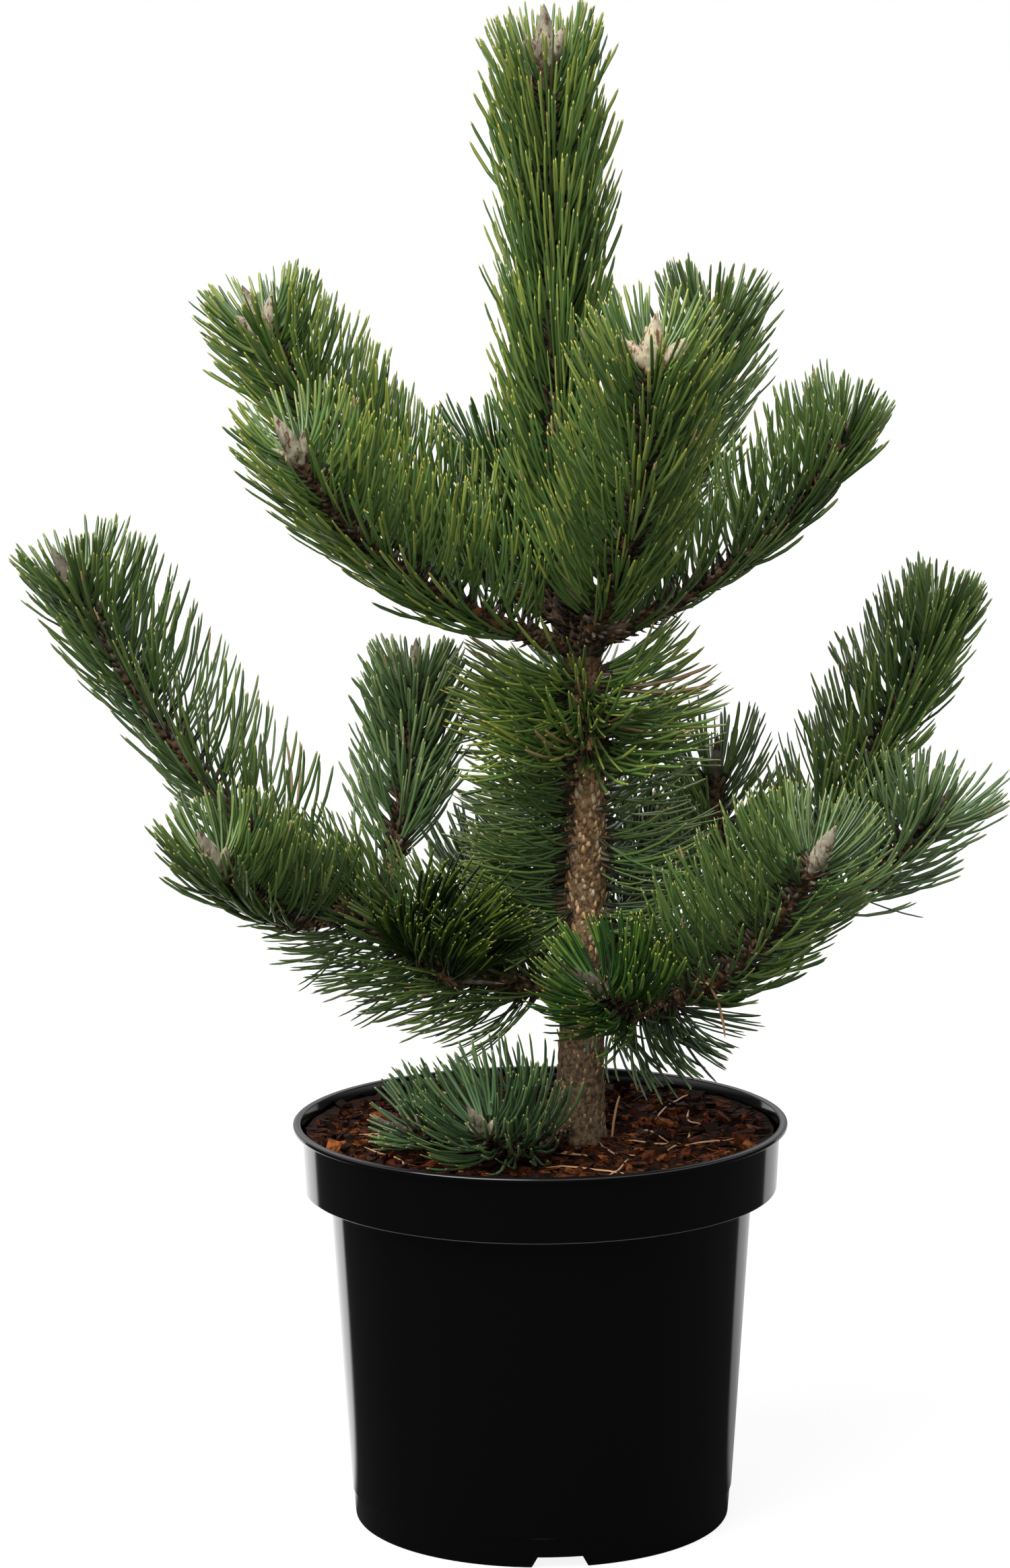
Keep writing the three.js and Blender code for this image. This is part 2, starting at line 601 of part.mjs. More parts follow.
function sleeveMass(sleeve, core, seed) {
  const limb = wood[sleeve.on];
  const margin = SLEEVE.wall / limb.length;
  const woodName = sleeve.on === 'trunk' ? 'trunk' : `${sleeve.on} wood`;
  const sprays = addNeedles(core.solid, limb, {
    ...NEEDLE, ...sleeve, seed, owners: { owner: sleeve.name, wood: woodName },
    from: sleeve.from + margin, to: sleeve.to - margin,
    rootRadius: (share) => core.outer(share) - SLEEVE.wall * SLEEVE.rootDepth, skinRadius: core.outer,
  });
  const solid = largestBody(sprays.subtract(limb.cutter));
  return toMesh(`${sleeve.name}_needles`, solid, COLOURS[sleeve.shade], ROUGHNESS.needles);
}

const plant = new THREE.Group();
plant.add(toMesh('pot', makePot(), COLOURS.pot, ROUGHNESS.pot));
plant.add(toMesh('soil', makeSoil(), COLOURS.soil, ROUGHNESS.soil));
plant.add(toMesh('trunk', wood.trunk.solid, COLOURS.bark, ROUGHNESS.bark));
for (const bough of BOUGHS) {
  plant.add(toMesh(`${bough.name}_bough`, wood[bough.name].solid, COLOURS.bark, ROUGHNESS.bark));
}
plant.add(...BOUGHS.map((bough, i) => shootMass(bough, 101 + i)));
plant.add(...SLEEVES.map((sleeve, i) => sleeveMass(sleeve, sleeveCores[i], 301 + i)));

export default plant;
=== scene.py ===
# A young Austrian pine in a round black nursery pot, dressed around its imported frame.
# The bough and needle rules are those of the construction, in millimetres until a mesh is made.
import math

import bpy
import numpy as np
from mathutils import Matrix, Vector


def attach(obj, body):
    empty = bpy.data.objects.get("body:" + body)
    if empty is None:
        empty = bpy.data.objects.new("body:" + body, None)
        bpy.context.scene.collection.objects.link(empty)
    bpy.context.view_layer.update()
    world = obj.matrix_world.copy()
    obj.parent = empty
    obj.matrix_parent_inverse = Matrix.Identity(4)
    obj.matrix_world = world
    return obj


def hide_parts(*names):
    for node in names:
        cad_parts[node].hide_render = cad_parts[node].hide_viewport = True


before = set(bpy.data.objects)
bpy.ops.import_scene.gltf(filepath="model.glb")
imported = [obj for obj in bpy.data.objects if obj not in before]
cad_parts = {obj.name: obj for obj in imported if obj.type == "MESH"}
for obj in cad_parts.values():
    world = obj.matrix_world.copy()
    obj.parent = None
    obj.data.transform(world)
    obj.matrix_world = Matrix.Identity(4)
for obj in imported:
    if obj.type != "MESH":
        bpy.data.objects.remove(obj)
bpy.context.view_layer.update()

mm = 0.001
up = np.array([0.0, 0.0, 1.0])
goldenAngle = math.pi * (3 - math.sqrt(5))


# camera, floor and light
camera = {
    "place": (-0.0187, -2.650, 0.850),
    "pitch": 9.19,  # degrees down
    "roll": -0.34,
    "lens": 110.16,
    "sensor": 36,
    "clipEnd": 200,
}
studio = {
    "floorRadius": 60.0,
    "floorSides": 96,
    "floorSeen": 0.97,  # grey of the floor in the picture, where the white behind shows through it
    "floorThin": 0.88,
    "floorBounce": 0.14,  # grey that throws light back up
    "skySeen": 1.0,
    "skyLight": 0.95,
    "backdrop": 1.15,  # what gloss mirrors: bright behind the plant, dim in front, soft above
    "frontRoom": 0.055,
    "softbox": 1.4,
    "backdropSpread": 1.07,
    "sunToward": (0.55, 0.62, -0.95),
    "sunStrength": 3.8,
    "sunSoftness": 46,  # degrees across
}


def deselect():
    bpy.ops.object.select_all(action="DESELECT")


def setCamera():
    bpy.ops.object.camera_add(location=camera["place"])
    cam = bpy.context.object
    cam.name = "photoCamera"
    turn = Matrix.Rotation(math.radians(90 - camera["pitch"]), 4, "X")
    roll = Matrix.Rotation(math.radians(camera["roll"]), 4, "Z")
    cam.matrix_world = Matrix.Translation(camera["place"]) @ turn @ roll
    cam.data.lens = camera["lens"]
    cam.data.sensor_width = camera["sensor"]
    cam.data.clip_end = camera["clipEnd"]
    bpy.context.scene.camera = cam


def setStudio():
    bpy.ops.object.light_add(type="SUN")
    sun = bpy.context.object
    sun.name = "softSun"
    sun.data.energy = studio["sunStrength"]
    sun.data.angle = math.radians(studio["sunSoftness"])
    sun.rotation_euler = Vector(studio["sunToward"]).to_track_quat("-Z", "Y").to_euler()
    bpy.context.scene.view_settings.view_transform = "Standard"
    bpy.context.scene.view_settings.look = "None"


def mirrored(place, offset=0.0):
    # 1 towards the part of the backdrop that the pot's sides mirror, less on the right
    x, y = place.axis("X"), place.axis("Y")
    ahead = y - x.maths("ABSOLUTE", x, 0) * studio["backdropSpread"] + offset
    return ahead.between(-0.02, 0.02) * (1 - x.between(-0.05, 0.05) * 0.5)


def byRay(tree, seen, glossy, other):
    # one value for the picture, one for what gloss mirrors and one for the light that falls
    direct = Wire(tree).node("LightPath", output="Is Camera Ray")
    gloss = Wire(tree).node("LightPath", output="Is Glossy Ray")
    return direct * seen + gloss * glossy + (1 - direct - gloss) * other


def setWorld():
    # white behind the plant, and a softer grey as its light
    world = bpy.data.worlds.new("studioWorld")
    bpy.context.scene.world = world
    world.use_nodes = True
    tree = world.node_tree
    way = Wire(tree).node("TexCoord", output="Generated")
    above = way.axis("Z").between(0.15, 0.6)
    glossy = mirrored(way) * studio["backdrop"] + above * studio["softbox"] + studio["frontRoom"]
    strength = byRay(tree, studio["skySeen"], glossy, studio["skyLight"])
    background = tree.nodes["Background"]
    background.inputs["Color"].default_value = (1, 1, 1, 1)
    tree.links.new(strength.socket, background.inputs["Strength"])


def floorLook(coords):
    glossy = mirrored(coords, 0.1) * 0.9 + studio["frontRoom"] * 0.6
    grey = byRay(coords.tree, studio["floorSeen"], glossy, studio["floorBounce"])
    return {"Base Color": grey, "Alpha": byRay(coords.tree, 1 - studio["floorThin"], 1, 1)}


def makeFloor():
    bpy.ops.mesh.primitive_circle_add(
        vertices=studio["floorSides"], radius=studio["floorRadius"], fill_type="NGON")
    floor = bpy.context.object
    floor.name = "paleFloor"
    plain = {"Roughness": 1.0, "Specular IOR Level": 0.0}
    floor.data.materials.append(newMaterial("paleFloor", plain, floorLook))
    deselect()


# shader maths
class Wire:
    # an output socket that can be used in sums
    def __init__(self, tree, socket=None):
        self.tree = tree
        self.socket = socket

    def node(self, kind, settings=None, values=None, output=0):
        made = self.tree.nodes.new("ShaderNode" + kind)
        for name, value in (settings or {}).items():
            setattr(made, name, value)
        for name, value in (values or {}).items():
            if isinstance(value, Wire):
                self.tree.links.new(value.socket, made.inputs[name])
            else:
                made.inputs[name].default_value = value
        return Wire(self.tree, made.outputs[output])

    def maths(self, operation, first, second):
        return self.node("Math", {"operation": operation}, {0: first, 1: second})

    def __add__(self, other):
        return self.maths("ADD", self, other)

    __radd__ = __add__

    def __sub__(self, other):
        return self.maths("SUBTRACT", self, other)

    def __rsub__(self, other):
        return self.maths("SUBTRACT", other, self)

    def __mul__(self, other):
        return self.maths("MULTIPLY", self, other)

    __rmul__ = __mul__

    def axis(self, name):
        return self.node("SeparateXYZ", None, {0: self}, name)

    def between(self, low, high):
        # 0 at low and 1 at high, smooth in between
        return self.node("MapRange", {"interpolation_type": "SMOOTHSTEP"}, {0: self, 1: low, 2: high})

    def mix(self, first, second):
        # a colour from first to second as this goes from 0 to 1
        return self.node("Mix", {"data_type": "RGBA"}, {0: self, 6: first, 7: second}, output=2)

    def tones(self, low, high, dark, pale):
        # an sRGB colour from dark at low to pale at high
        return self.between(low, high).mix(colour(*dark), colour(*pale))

    def noise(self, scale, detail=3, roughness=0.5, stretch=(1, 1, 1)):
        place = self.node("Mapping", None, {"Vector": self, "Scale": stretch})
        values = {"Vector": place, "Scale": scale, "Detail": detail, "Roughness": roughness}
        return self.node("TexNoise", None, values)

    def cells(self, scale, stretch=(1, 1, 1)):
        place = self.node("Mapping", None, {"Vector": self, "Scale": stretch})
        return self.node("TexVoronoi", None, {"Vector": place, "Scale": scale}, "Distance")

    def bump(self, strength, distance):
        return self.node("Bump", None, {"Height": self, "Strength": strength, "Distance": distance})


def colour(*levels):
    # sRGB 0..255 to a linear colour
    shares = [level / 255 for level in levels]
    linear = [c / 12.92 if c <= 0.04045 else ((c + 0.055) / 1.055) ** 2.4 for c in shares]
    return (*linear, 1)


def newMaterial(name, plain, build=None):
    # plain values go on the shader's own sockets; build adds what varies
    material = bpy.data.materials.new(name)
    material.use_nodes = True
    shader = material.node_tree.nodes["Principled BSDF"]
    for socket, value in plain.items():
        shader.inputs[socket].default_value = value
    if build:
        start = Wire(material.node_tree)
        coords = start.node("TexCoord", None, None, output="Object")
        for socket, wire in build(coords).items():
            material.node_tree.links.new(wire.socket, shader.inputs[socket])
    return material


# plant data: the construction's own tables
soilTop = 215
trunkLine = [(21.5, 215), (24.5, 300), (26.5, 430), (25, 492), (13, 620), (9.5, 727), (5, 852)]
trunkRadius = [
    (0, 17.5), (0.02, 14.6), (0.06, 13.2), (0.12, 12.6), (0.14, 13.6), (0.17, 11.8),
    (0.34, 10.4), (0.42, 9.8), (0.45, 11.6), (0.475, 8.6), (0.53, 6.4), (0.66, 5),
    (0.93, 4.2), (1, 4),
]
boughHandle = 0.4
boughTip = 3.4  # radius

# name: on, at, heading, reach, rise, leave, arrive, turn, bare, radius, needle, every, shade
# every, how far apart the sheaths sit along a shoot, is chosen for the picture
# shade picks the bright, mid or dark greens: painted light on lit shoots, painted shade on those behind
boughTable = {
    "upper_left_back": ("trunk", 507, 165, 193, 187, 28, 66, 0, 0.17, 4.9, 66, 0.58, "mid"),
    "upper_left_front": ("trunk", 496, 207.7, 183, 132, 18, 62, 0, 0.13, 5.2, 68, 0.74, "bright"),
    "upper_front": ("trunk", 500, -76, 149, 187, 22, 80, 0, 0.12, 5.2, 72, 0.66, "bright"),
    "upper_right_back": ("trunk", 508, 54.7, 147, 183, 30, 72, 0, 0.14, 4.9, 68, 0.74, "mid"),
    "upper_right": ("trunk", 497, 6.4, 161, 139, 24, 66, 0, 0.24, 5, 64, 0.76, "mid"),
    "upper_back": ("trunk", 503, 119, 109, 111, 30, 62, 0, 0.18, 4.2, 56, 0.62, "dark"),
    "lower_left": ("trunk", 300, 176, 296, 246, 12, 58, 18, 0.43, 6.6, 70, 0.84, "mid"),
    "lower_left_front": ("lower_left", 0.355, 232.8, 119, 58, -10, 62, 0, 0.22, 4.6, 64, 0.5, "bright"),
    "lower_left_upright": ("lower_left", 0.31, 62, 52, 156, 52, 88, 0, 0.24, 5, 50, 0.52, "mid"),
    "lower_left_inner": ("lower_left", 0.25, -44, 72, -12, -10, 14, -24, 0.22, 3.8, 62, 0.3, "bright"),
    "lower_right_front": ("trunk", 300, -47, 192, 111, -2, 56, 0, 0.34, 6.4, 72, 0.58, "bright"),
    "lower_front": ("lower_right_front", 0.28, 236, 92, 34, 0, 46, 8, 0.34, 3.8, 56, 0.4, "mid"),
    "lower_right_back": ("trunk", 306, 23, 243, 210, 2, 58, 0, 0.38, 6.2, 62, 0.56, "dark"),
    "lower_right": ("lower_right_back", 0.25, -1, 140, 91, 10, 54, 0, 0.34, 4.4, 54, 0.52, "mid"),
    "lower_back_upright": ("lower_right_back", 0.19, 80, 76, 121, 40, 84, -30, 0.24, 4.2, 50, 0.74, "dark"),
    "lower_back_left": ("trunk", 305, 115, 166, 62, 4, 46, 0, 0.24, 5, 62, 0.8, "dark"),
    "lower_back_right": ("trunk", 299, 74, 172, 94, 4, 50, 0, 0.24, 5, 62, 1.05, "dark"),
    "foot_front": ("trunk", 229, 237.8, 118, 34, -6, 58, 0, 0.36, 4, 56, 0.54, "mid"),
    "foot_left": ("trunk", 227, 206.6, 112, 8, -4, 24, 0, 0.45, 3.4, 48, 0.55, "mid"),
}
# how far each shoot's end is moved along X and Z from its solid's, past the bare wood
tipShift = {
    "upper_left_back": (-2, 3), "upper_left_front": (-4, 7.5), "upper_front": (1, 5.5),
    "upper_right_back": (0, 4.5), "upper_right": (2, 2), "lower_left": (-1.5, 8.5),
    "lower_left_front": (-4, 3.4), "lower_right_front": (1.5, 9.5), "lower_right_back": (-2, 7),
    "lower_right": (-3, -1), "lower_back_upright": (8, -4), "foot_front": (0, -2), "foot_left": (-17, 7),
}
needleRule = {
    "crowding": 1.25, "lean": 43, "sideLean": 24, "tipLean": 36, "leanPower": 6,
    "sideOut": 40,  # how much more the needles of a flat shoot's flanks lean out
    "curl": 24, "curlSide": 0.3,  # how much a needle bends towards the shoot
    "lift": 2.2, "liftUnder": 0.3, "rise": 0.08,  # how much it bends up
    "part": 0.08,  # how many of the needles towards the front are left out
    "thin": 0,  # how many of those towards the right are left out
    "underLean": 1.5, "underLength": 0.76,  # those of the underside lie closer and are shorter
    "underThin": 0.35,
    "scatter": 4.8, "rollScatter": 0.3, "shortest": 0.86, "reach": 1.04, "width": 1,
    "tipLength": 0.7, "lengthPower": 8,
    "show": 0,  # how much the front needles open round the end bud
    "cup": 1, "cupBack": -0.35,  # from where on, and how far round, they leave the bud free
    "lowest": -1,  # how far round to the underside needles grow
}
# what differs from the rule on some shoots
roundTuft = {
    "tipLean": 40, "sideLean": 14, "sideOut": 0, "leanPower": 4, "part": 0,
    "underLean": 1.15, "underLength": 1, "underThin": 0}
shootChanges = {
    "upper_front": {"show": 11, "cup": 0.962, "cupBack": 0.15, "lift": 3.2, "part": 0},
    "upper_left_front": {"show": 20, "cup": 0.94, "underLean": 0.9, "underLength": 1, "underThin": 0},
    "upper_left_back": {
        "show": 16, "cup": 0.96, "underLean": 0.9, "underLength": 1, "underThin": 0.1, "tones": "bright"},
    "upper_right": {"sideLean": 26, "part": 0, "lift": 3, "underThin": 0.4, "from": 0.1},
    "upper_back": {"tipLength": 1, "tipLean": 33, "reach": 1.12, "tones": "lush"},
    "lower_left": {"show": 19, "crowding": 1.5, "tipLean": 40, "part": 0},
    "lower_left_front": {
        "show": 24, "cup": 0.94, "lift": 2.6, "underLength": 0.95, "underThin": 0, "tones": "mid"},
    "lower_left_upright": {"reach": 1.08, "lean": 39, "tones": "silver"},
    "lower_right_front": {
        "show": 22, "cup": 0.96, "lean": 45, "sideLean": 33, "underLean": 0.4, "underLength": 0.85,
        "underThin": 0.5, "tones": "mid"},
    "lower_right_back": {"tipLean": 28, "part": 0, "underLean": 1.8, "tones": "mid"},
    "lower_right": {
        "crowding": 1.5, "lean": 46, "sideLean": 32, "tipLean": 42, "leanPower": 3, "underLean": 0.4,
        "underLength": 1, "underThin": 0.3, "reach": 1.14, "tipLength": 0.95, "dead": 0, "tones": "silver"},
    "lower_back_upright": {
        "tipLength": 1, "lean": 50, "tipLean": 26, "leanPower": 3, "reach": 1.16, "part": 0.8,
        "underThin": 0, "tones": "mid"},
    "lower_left_inner": {
        "lean": 46, "sideLean": 8, "sideOut": 0, "lift": 1.5, "liftUnder": 0.8, "curl": 36, "tipLean": 32,
        "lowest": -0.1, "scatter": 10, "from": 0.02, "reach": 1.14, "tones": "shaded"},
    "lower_front": {**roundTuft, "lean": 54, "lift": 1.1, "curl": 36, "tones": "lush"},
    "foot_front": {
        **roundTuft, "lean": 56, "lift": 1.6, "curl": 34, "reach": 1.2, "shortest": 0.78, "tones": "cool"},
    "foot_left": {
        "lean": 50, "sideLean": 10, "sideOut": 0, "lift": 0.8, "leanPower": 5, "curl": 34, "part": 0,
        "underThin": 0, "tones": "cool"},
}
# needles on wood that runs on: limb, from, to, and what differs from the rule
sleeveRule = {
    "crowding": 1, "sideLean": 0, "sideOut": 0, "lift": 0, "curlSide": 0, "underLength": 1, "underThin": 0}
sleeveTable = {
    "leader": ("trunk", 0.505, 0.935, {
        "every": 0.44, "crowding": 1.15, "needle": 72, "lean": 23, "tipLean": 31, "leanPower": 5,
        "curl": 30, "tipLength": 0.72, "show": 8, "cup": 0.975, "part": 0.58, "shade": "mid",
        "tones": "bright"}),
    "mid_trunk_upper": ("trunk", 0.345, 0.425, {
        "every": 0.15, "needle": 82, "lean": 81, "tipLean": 75, "curl": 25, "rise": 0.1,
        "scatter": 14, "rollScatter": 0.8, "shortest": 0.76, "dead": 0.034, "part": 0.2, "thin": 0.35,
        "shade": "mid", "tones": "bright"}),
    "mid_trunk_lower": ("trunk", 0.185, 0.345, {
        "every": 0.21, "needle": 78, "lean": 84, "tipLean": 80, "curl": 31, "rise": 0.12,
        "scatter": 13, "rollScatter": 0.8, "shortest": 0.76, "dead": 0.01, "part": 1, "thin": 0.6,
        "width": 0.9, "shade": "mid"}),
    "lower_left_wood": ("lower_left", 0.06, 0.42, {
        "every": 0.46, "needle": 64, "lean": 48, "tipLean": 42, "curl": 40, "rise": 0.05,
        "scatter": 9, "dead": 0.006, "width": 0.8, "shade": "dark", "tones": "mid"}),
    "lower_right_wood": ("lower_right_front", 0.09, 0.325, {
        "every": 0.44, "needle": 60, "lean": 56, "tipLean": 50, "curl": 44, "rise": 0.05,
        "scatter": 12, "dead": 0.01, "width": 0.82, "shade": "dark"}),
}


# limbs
class Limb:
    # a centre line walked at even steps, with its radius and two directions across it
    def __init__(self, name, points, sideways, radii):
        self.name = name
        steps = np.linalg.norm(np.diff(points, axis=0), axis=1)
        self.length = steps.sum()
        walked = np.concatenate([[0], np.cumsum(steps)]) / self.length
        self.shares = np.linspace(0, 1, 241)
        self.line = np.stack([np.interp(self.shares, walked, points[:, i]) for i in range(3)], 1)
        self.ways = np.gradient(self.line, axis=0)
        self.ways /= np.linalg.norm(self.ways, axis=1)[:, None]
        self.sideways = np.array(sideways)
        self.radii = radii

    def at(self, share):
        # centres, directions and the two directions across, for an array of shares
        share = np.atleast_1d(share)
        read = lambda rows: np.stack([np.interp(share, self.shares, rows[:, i]) for i in range(3)], 1)
        point, way = read(self.line), unit(read(self.ways))
        side = unit(self.sideways - way * (way @ self.sideways)[:, None])
        return point, way, side, np.cross(side, way)

    def radius(self, share):
        return np.interp(share, *zip(*self.radii))

    def shootRadius(self, share):
        # of the needled part, from the bare wood to the bud
        if self.name == "trunk":
            return self.radius(share)
        grown = (share - self.bare) / (1 - self.bare)
        return shootWood["foot"] + (shootWood["tip"] - shootWood["foot"]) * np.clip(grown, 0, 1)

    def neck(self):
        # the share at which the end bud starts
        return bud["leaderNeck"] if self.name == "trunk" else 1 - bud["length"] / self.length


def unit(rows):
    return rows / np.linalg.norm(rows, axis=-1, keepdims=True)


def heading(degrees, slope=0):
    flat, rise = math.radians(degrees), math.radians(slope)
    return np.array([math.cos(flat) * math.cos(rise), math.sin(flat) * math.cos(rise), math.sin(rise)])


def makeTrunkLimb():
    # a smooth line through the trunk's points, with chord lengths as in the construction
    points = np.array([(x, 0, z) for x, z in trunkLine], float)
    ends = np.concatenate([[2 * points[0] - points[1]], points, [2 * points[-1] - points[-2]]])
    rows = []
    for i in range(1, len(points)):
        p0, p1, p2, p3 = ends[i - 1:i + 3]
        t0, t1, t2 = (np.linalg.norm(b - a) ** 0.5 for a, b in ((p0, p1), (p1, p2), (p2, p3)))
        out = ((p1 - p0) / t0 - (p2 - p0) / (t0 + t1) + (p2 - p1) / t1) * t1
        into = ((p2 - p1) / t1 - (p3 - p1) / (t1 + t2) + (p3 - p2) / t2) * t1
        t = np.linspace(0, 1, 41)[:, None]
        square, cube = 3 * (p2 - p1) - 2 * out - into, 2 * (p1 - p2) + out + into
        rows.append(p1 + out * t + square * t ** 2 + cube * t ** 3)
    line = np.concatenate([rows[0]] + [r[1:] for r in rows[1:]])
    return Limb("trunk", line, (0, 1, 0), trunkRadius)


def makeBoughLimb(name, limbs):
    on, at, head, reach, rise, leave, arrive, turn, bare, radius, needle, every, shade = boughTable[name]
    share = (at - soilTop) / (trunkLine[-1][1] - soilTop) if on == "trunk" else at
    start = limbs[on].at(share)[0][0]
    run = heading(head) * reach + up * rise
    handle = np.linalg.norm(run) * boughHandle
    tip = start + run
    first = start + heading(head + turn, leave) * handle
    second = tip - heading(head - turn, arrive) * handle
    t = np.linspace(0, 1, 201)[:, None]
    line = start * (1 - t) ** 3 + first * 3 * t * (1 - t) ** 2 + second * 3 * t ** 2 * (1 - t) + tip * t ** 3
    aside, higher = tipShift.get(name, (0, 0))
    line += np.array([aside, 0, higher]) * np.clip((t - bare) / (1 - bare), 0, 1) ** 1.6
    limb = Limb(name, line, heading(head + 90), [(0, radius), (1, boughTip)])
    limb.on, limb.bare, limb.needle, limb.every, limb.shade = on, bare, needle, every, shade
    return limb


limbs = {"trunk": makeTrunkLimb()}
for boughName in boughTable:
    limbs[boughName] = makeBoughLimb(boughName, limbs)
boughs = [limbs[name] for name in boughTable]


# meshes from arrays
def meshPiece(name, points, faces, materials, slots, smooth=True):
    # points in millimetres, faces and slots as one array for each face size
    mesh = bpy.data.meshes.new(name)
    groups = [np.asarray(f, np.int32) for f in faces]
    totals = np.concatenate([np.full(len(g), g.shape[1], np.int32) for g in groups])
    corners = np.concatenate([g.ravel() for g in groups])
    mesh.vertices.add(len(points))
    mesh.vertices.foreach_set("co", (np.asarray(points) * mm).astype(np.float32).ravel())
    mesh.loops.add(len(corners))
    mesh.loops.foreach_set("vertex_index", corners)
    mesh.polygons.add(len(totals))
    mesh.polygons.foreach_set("loop_start", np.concatenate([[0], np.cumsum(totals)[:-1]]).astype(np.int32))
    mesh.polygons.foreach_set("loop_total", totals)
    mesh.polygons.foreach_set("use_smooth", np.full(len(totals), smooth))
    for material in materials:
        mesh.materials.append(material)
    mesh.polygons.foreach_set("material_index", np.concatenate(slots).astype(np.int32))
    mesh.update(calc_edges=True)
    piece = bpy.data.objects.new(name, mesh)
    bpy.context.scene.collection.objects.link(piece)
    return piece


def tubeFaces(rings, sides):
    # quads between the rings of a tube and a face at each end
    row = np.arange(rings - 1)[:, None] * sides
    near, far = np.arange(sides), (np.arange(sides) + 1) % sides
    quads = np.stack([row + near, row + sides + near, row + sides + far, row + far], -1).reshape(-1, 4)
    return quads, np.stack([near, (rings - 1) * sides + near[::-1]])


def sweptArrays(paths, across, halfWidth, halfThick, sides):
    # one closed tapering rod for each path
    count, stations = paths.shape[:2]
    ways = unit(np.gradient(paths, axis=1))
    wide = unit(across[:, None] - ways * (ways * across[:, None]).sum(2, keepdims=True))
    thick = np.cross(wide, ways)
    turn = np.arange(sides) * 2 * math.pi / sides
    ring = (wide[:, :, None] * (np.cos(turn) * halfWidth[..., None])[..., None]
            + thick[:, :, None] * (np.sin(turn) * halfThick[..., None])[..., None])
    points = (paths[:, :, None] + ring).reshape(-1, 3)
    quads, ends = tubeFaces(stations, sides)
    shift = (np.arange(count) * stations * sides)[:, None, None]
    return points, (quads + shift).reshape(-1, 4), (ends + shift).reshape(-1, sides)


def dress(piece, slotName, *nodes):
    if nodes:
        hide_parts(*nodes)
    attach(piece, "root")


def rodPiece(name, sets, materials, kinds, slotName="bark"):
    # sets of rods as one mesh; kinds says which material each rod has
    points, quads, ends, start = [], [], [], 0
    for rows, four, caps in sets:
        points.append(rows)
        quads.append(four + start)
        ends.append(caps + start)
        start += len(rows)
    faces = [np.concatenate(quads), np.concatenate(ends)]
    slots = [np.repeat(kinds, len(rows) // len(kinds)) for rows in faces]
    dress(meshPiece(name, np.concatenate(points), faces, materials, slots), slotName)


# materials
def skin(tone, roughness, relief, strength, depth):
    return {"Base Color": tone, "Roughness": roughness, "Normal": relief.bump(strength, depth)}


def byHeight(coords, foot, above, shaded, warmAndLitFrom, shadeFrom):
    # grey-brown at the foot; warmer bark above, where the plates take a lighter copy as painted light; dark
    # under the upper whorl as painted shade
    height = coords.axis("Z")
    return height.between(*shadeFrom).mix(height.between(*warmAndLitFrom).mix(foot, above), shaded)


def barkLook(coords):
    fine = coords.noise(320, 6, 0.7)
    cracks = coords.cells(300, stretch=(1, 1, 0.55))
    old = fine.tones(0.34, 0.66, (50, 38, 27), (118, 98, 74))
    fresh = fine.tones(0.36, 0.66, (74, 54, 37), (160, 125, 90))
    shaded = fine.tones(0.36, 0.66, (54, 41, 29), (104, 80, 58))
    tone = byHeight(coords, old, fresh, shaded, (0.25, 0.42), (0.465, 0.5))
    return skin(tone, 0.98 - fine * 0.2, fine * 0.8 + cracks * 0.6, 0.8, 0.0012)


def plateLook(dark, pale):
    def build(coords):
        grain = coords.noise(330, 5, 0.65, (1, 1, 0.5))
        # the plate's own tone, a lighter copy above the foot as painted light, a darker one under the whorl
        # as painted shade
        tones = [
            grain.tones(0.36, 0.64, np.multiply(dark, shares), np.multiply(pale, shares))
            for shares in ((1, 1, 1), (1.36, 1.4, 1.36), (0.74, 0.68, 0.62))]
        tone = byHeight(coords, *tones, (0.27, 0.34), (0.45, 0.48))
        return skin(tone, 0.98 - grain * 0.2, grain, 0.6, 0.0008)
    return build


def shootLook(coords):
    fine = coords.noise(240, 5, 0.65)
    brown = fine.tones(0.35, 0.65, (40, 29, 19), (104, 76, 50))
    tone = coords.noise(55, 2).between(0.57, 0.69).mix(brown, colour(116, 70, 34))
    return skin(tone, 0.9 - fine * 0.2, fine, 0.6, 0.001)


def budLook(pale, grey, seam):
    def build(coords):
        fibre = coords.noise(460, 4, 0.6, (1, 1, 0.3))
        scale = coords.noise(110, 3).tones(0.42, 0.64, pale, grey)
        tone = fibre.between(0.36, 0.52).mix(colour(*seam), scale)
        return skin(tone, 0.75 + fibre * 0.2, fibre, 0.5, 0.0006)
    return build


def potLook(coords):
    streak = coords.noise(30, 3, 0.5, (1, 1, 0.06))
    speck = coords.noise(900, 2)
    return {
        "Roughness": 0.05 + streak * 0.07 + speck * 0.03,
        "Normal": (streak * 0.7 + speck * 0.1).bump(0.1, 0.0005),
    }


def soilLook(coords):
    tint = coords.noise(90, 5, 0.6)
    tone = tint.tones(0.35, 0.65, (8, 4, 3), (34, 17, 9))
    return skin(tone, 0.98 - tint * 0.15, coords.cells(260) + tint, 0.8, 0.002)


def chipLook(dark, pale):
    def build(coords):
        grain = coords.noise(240, 4, 0.6)
        return skin(grain.tones(0.35, 0.65, dark, pale), 0.95 - grain * 0.2, grain, 0.5, 0.0008)
    return build


def lookSet(look, specular, rows):
    # one material for each name, with its own colours
    return [newMaterial(name, {"Specular IOR Level": specular}, look(*tones)) for name, *tones in rows]


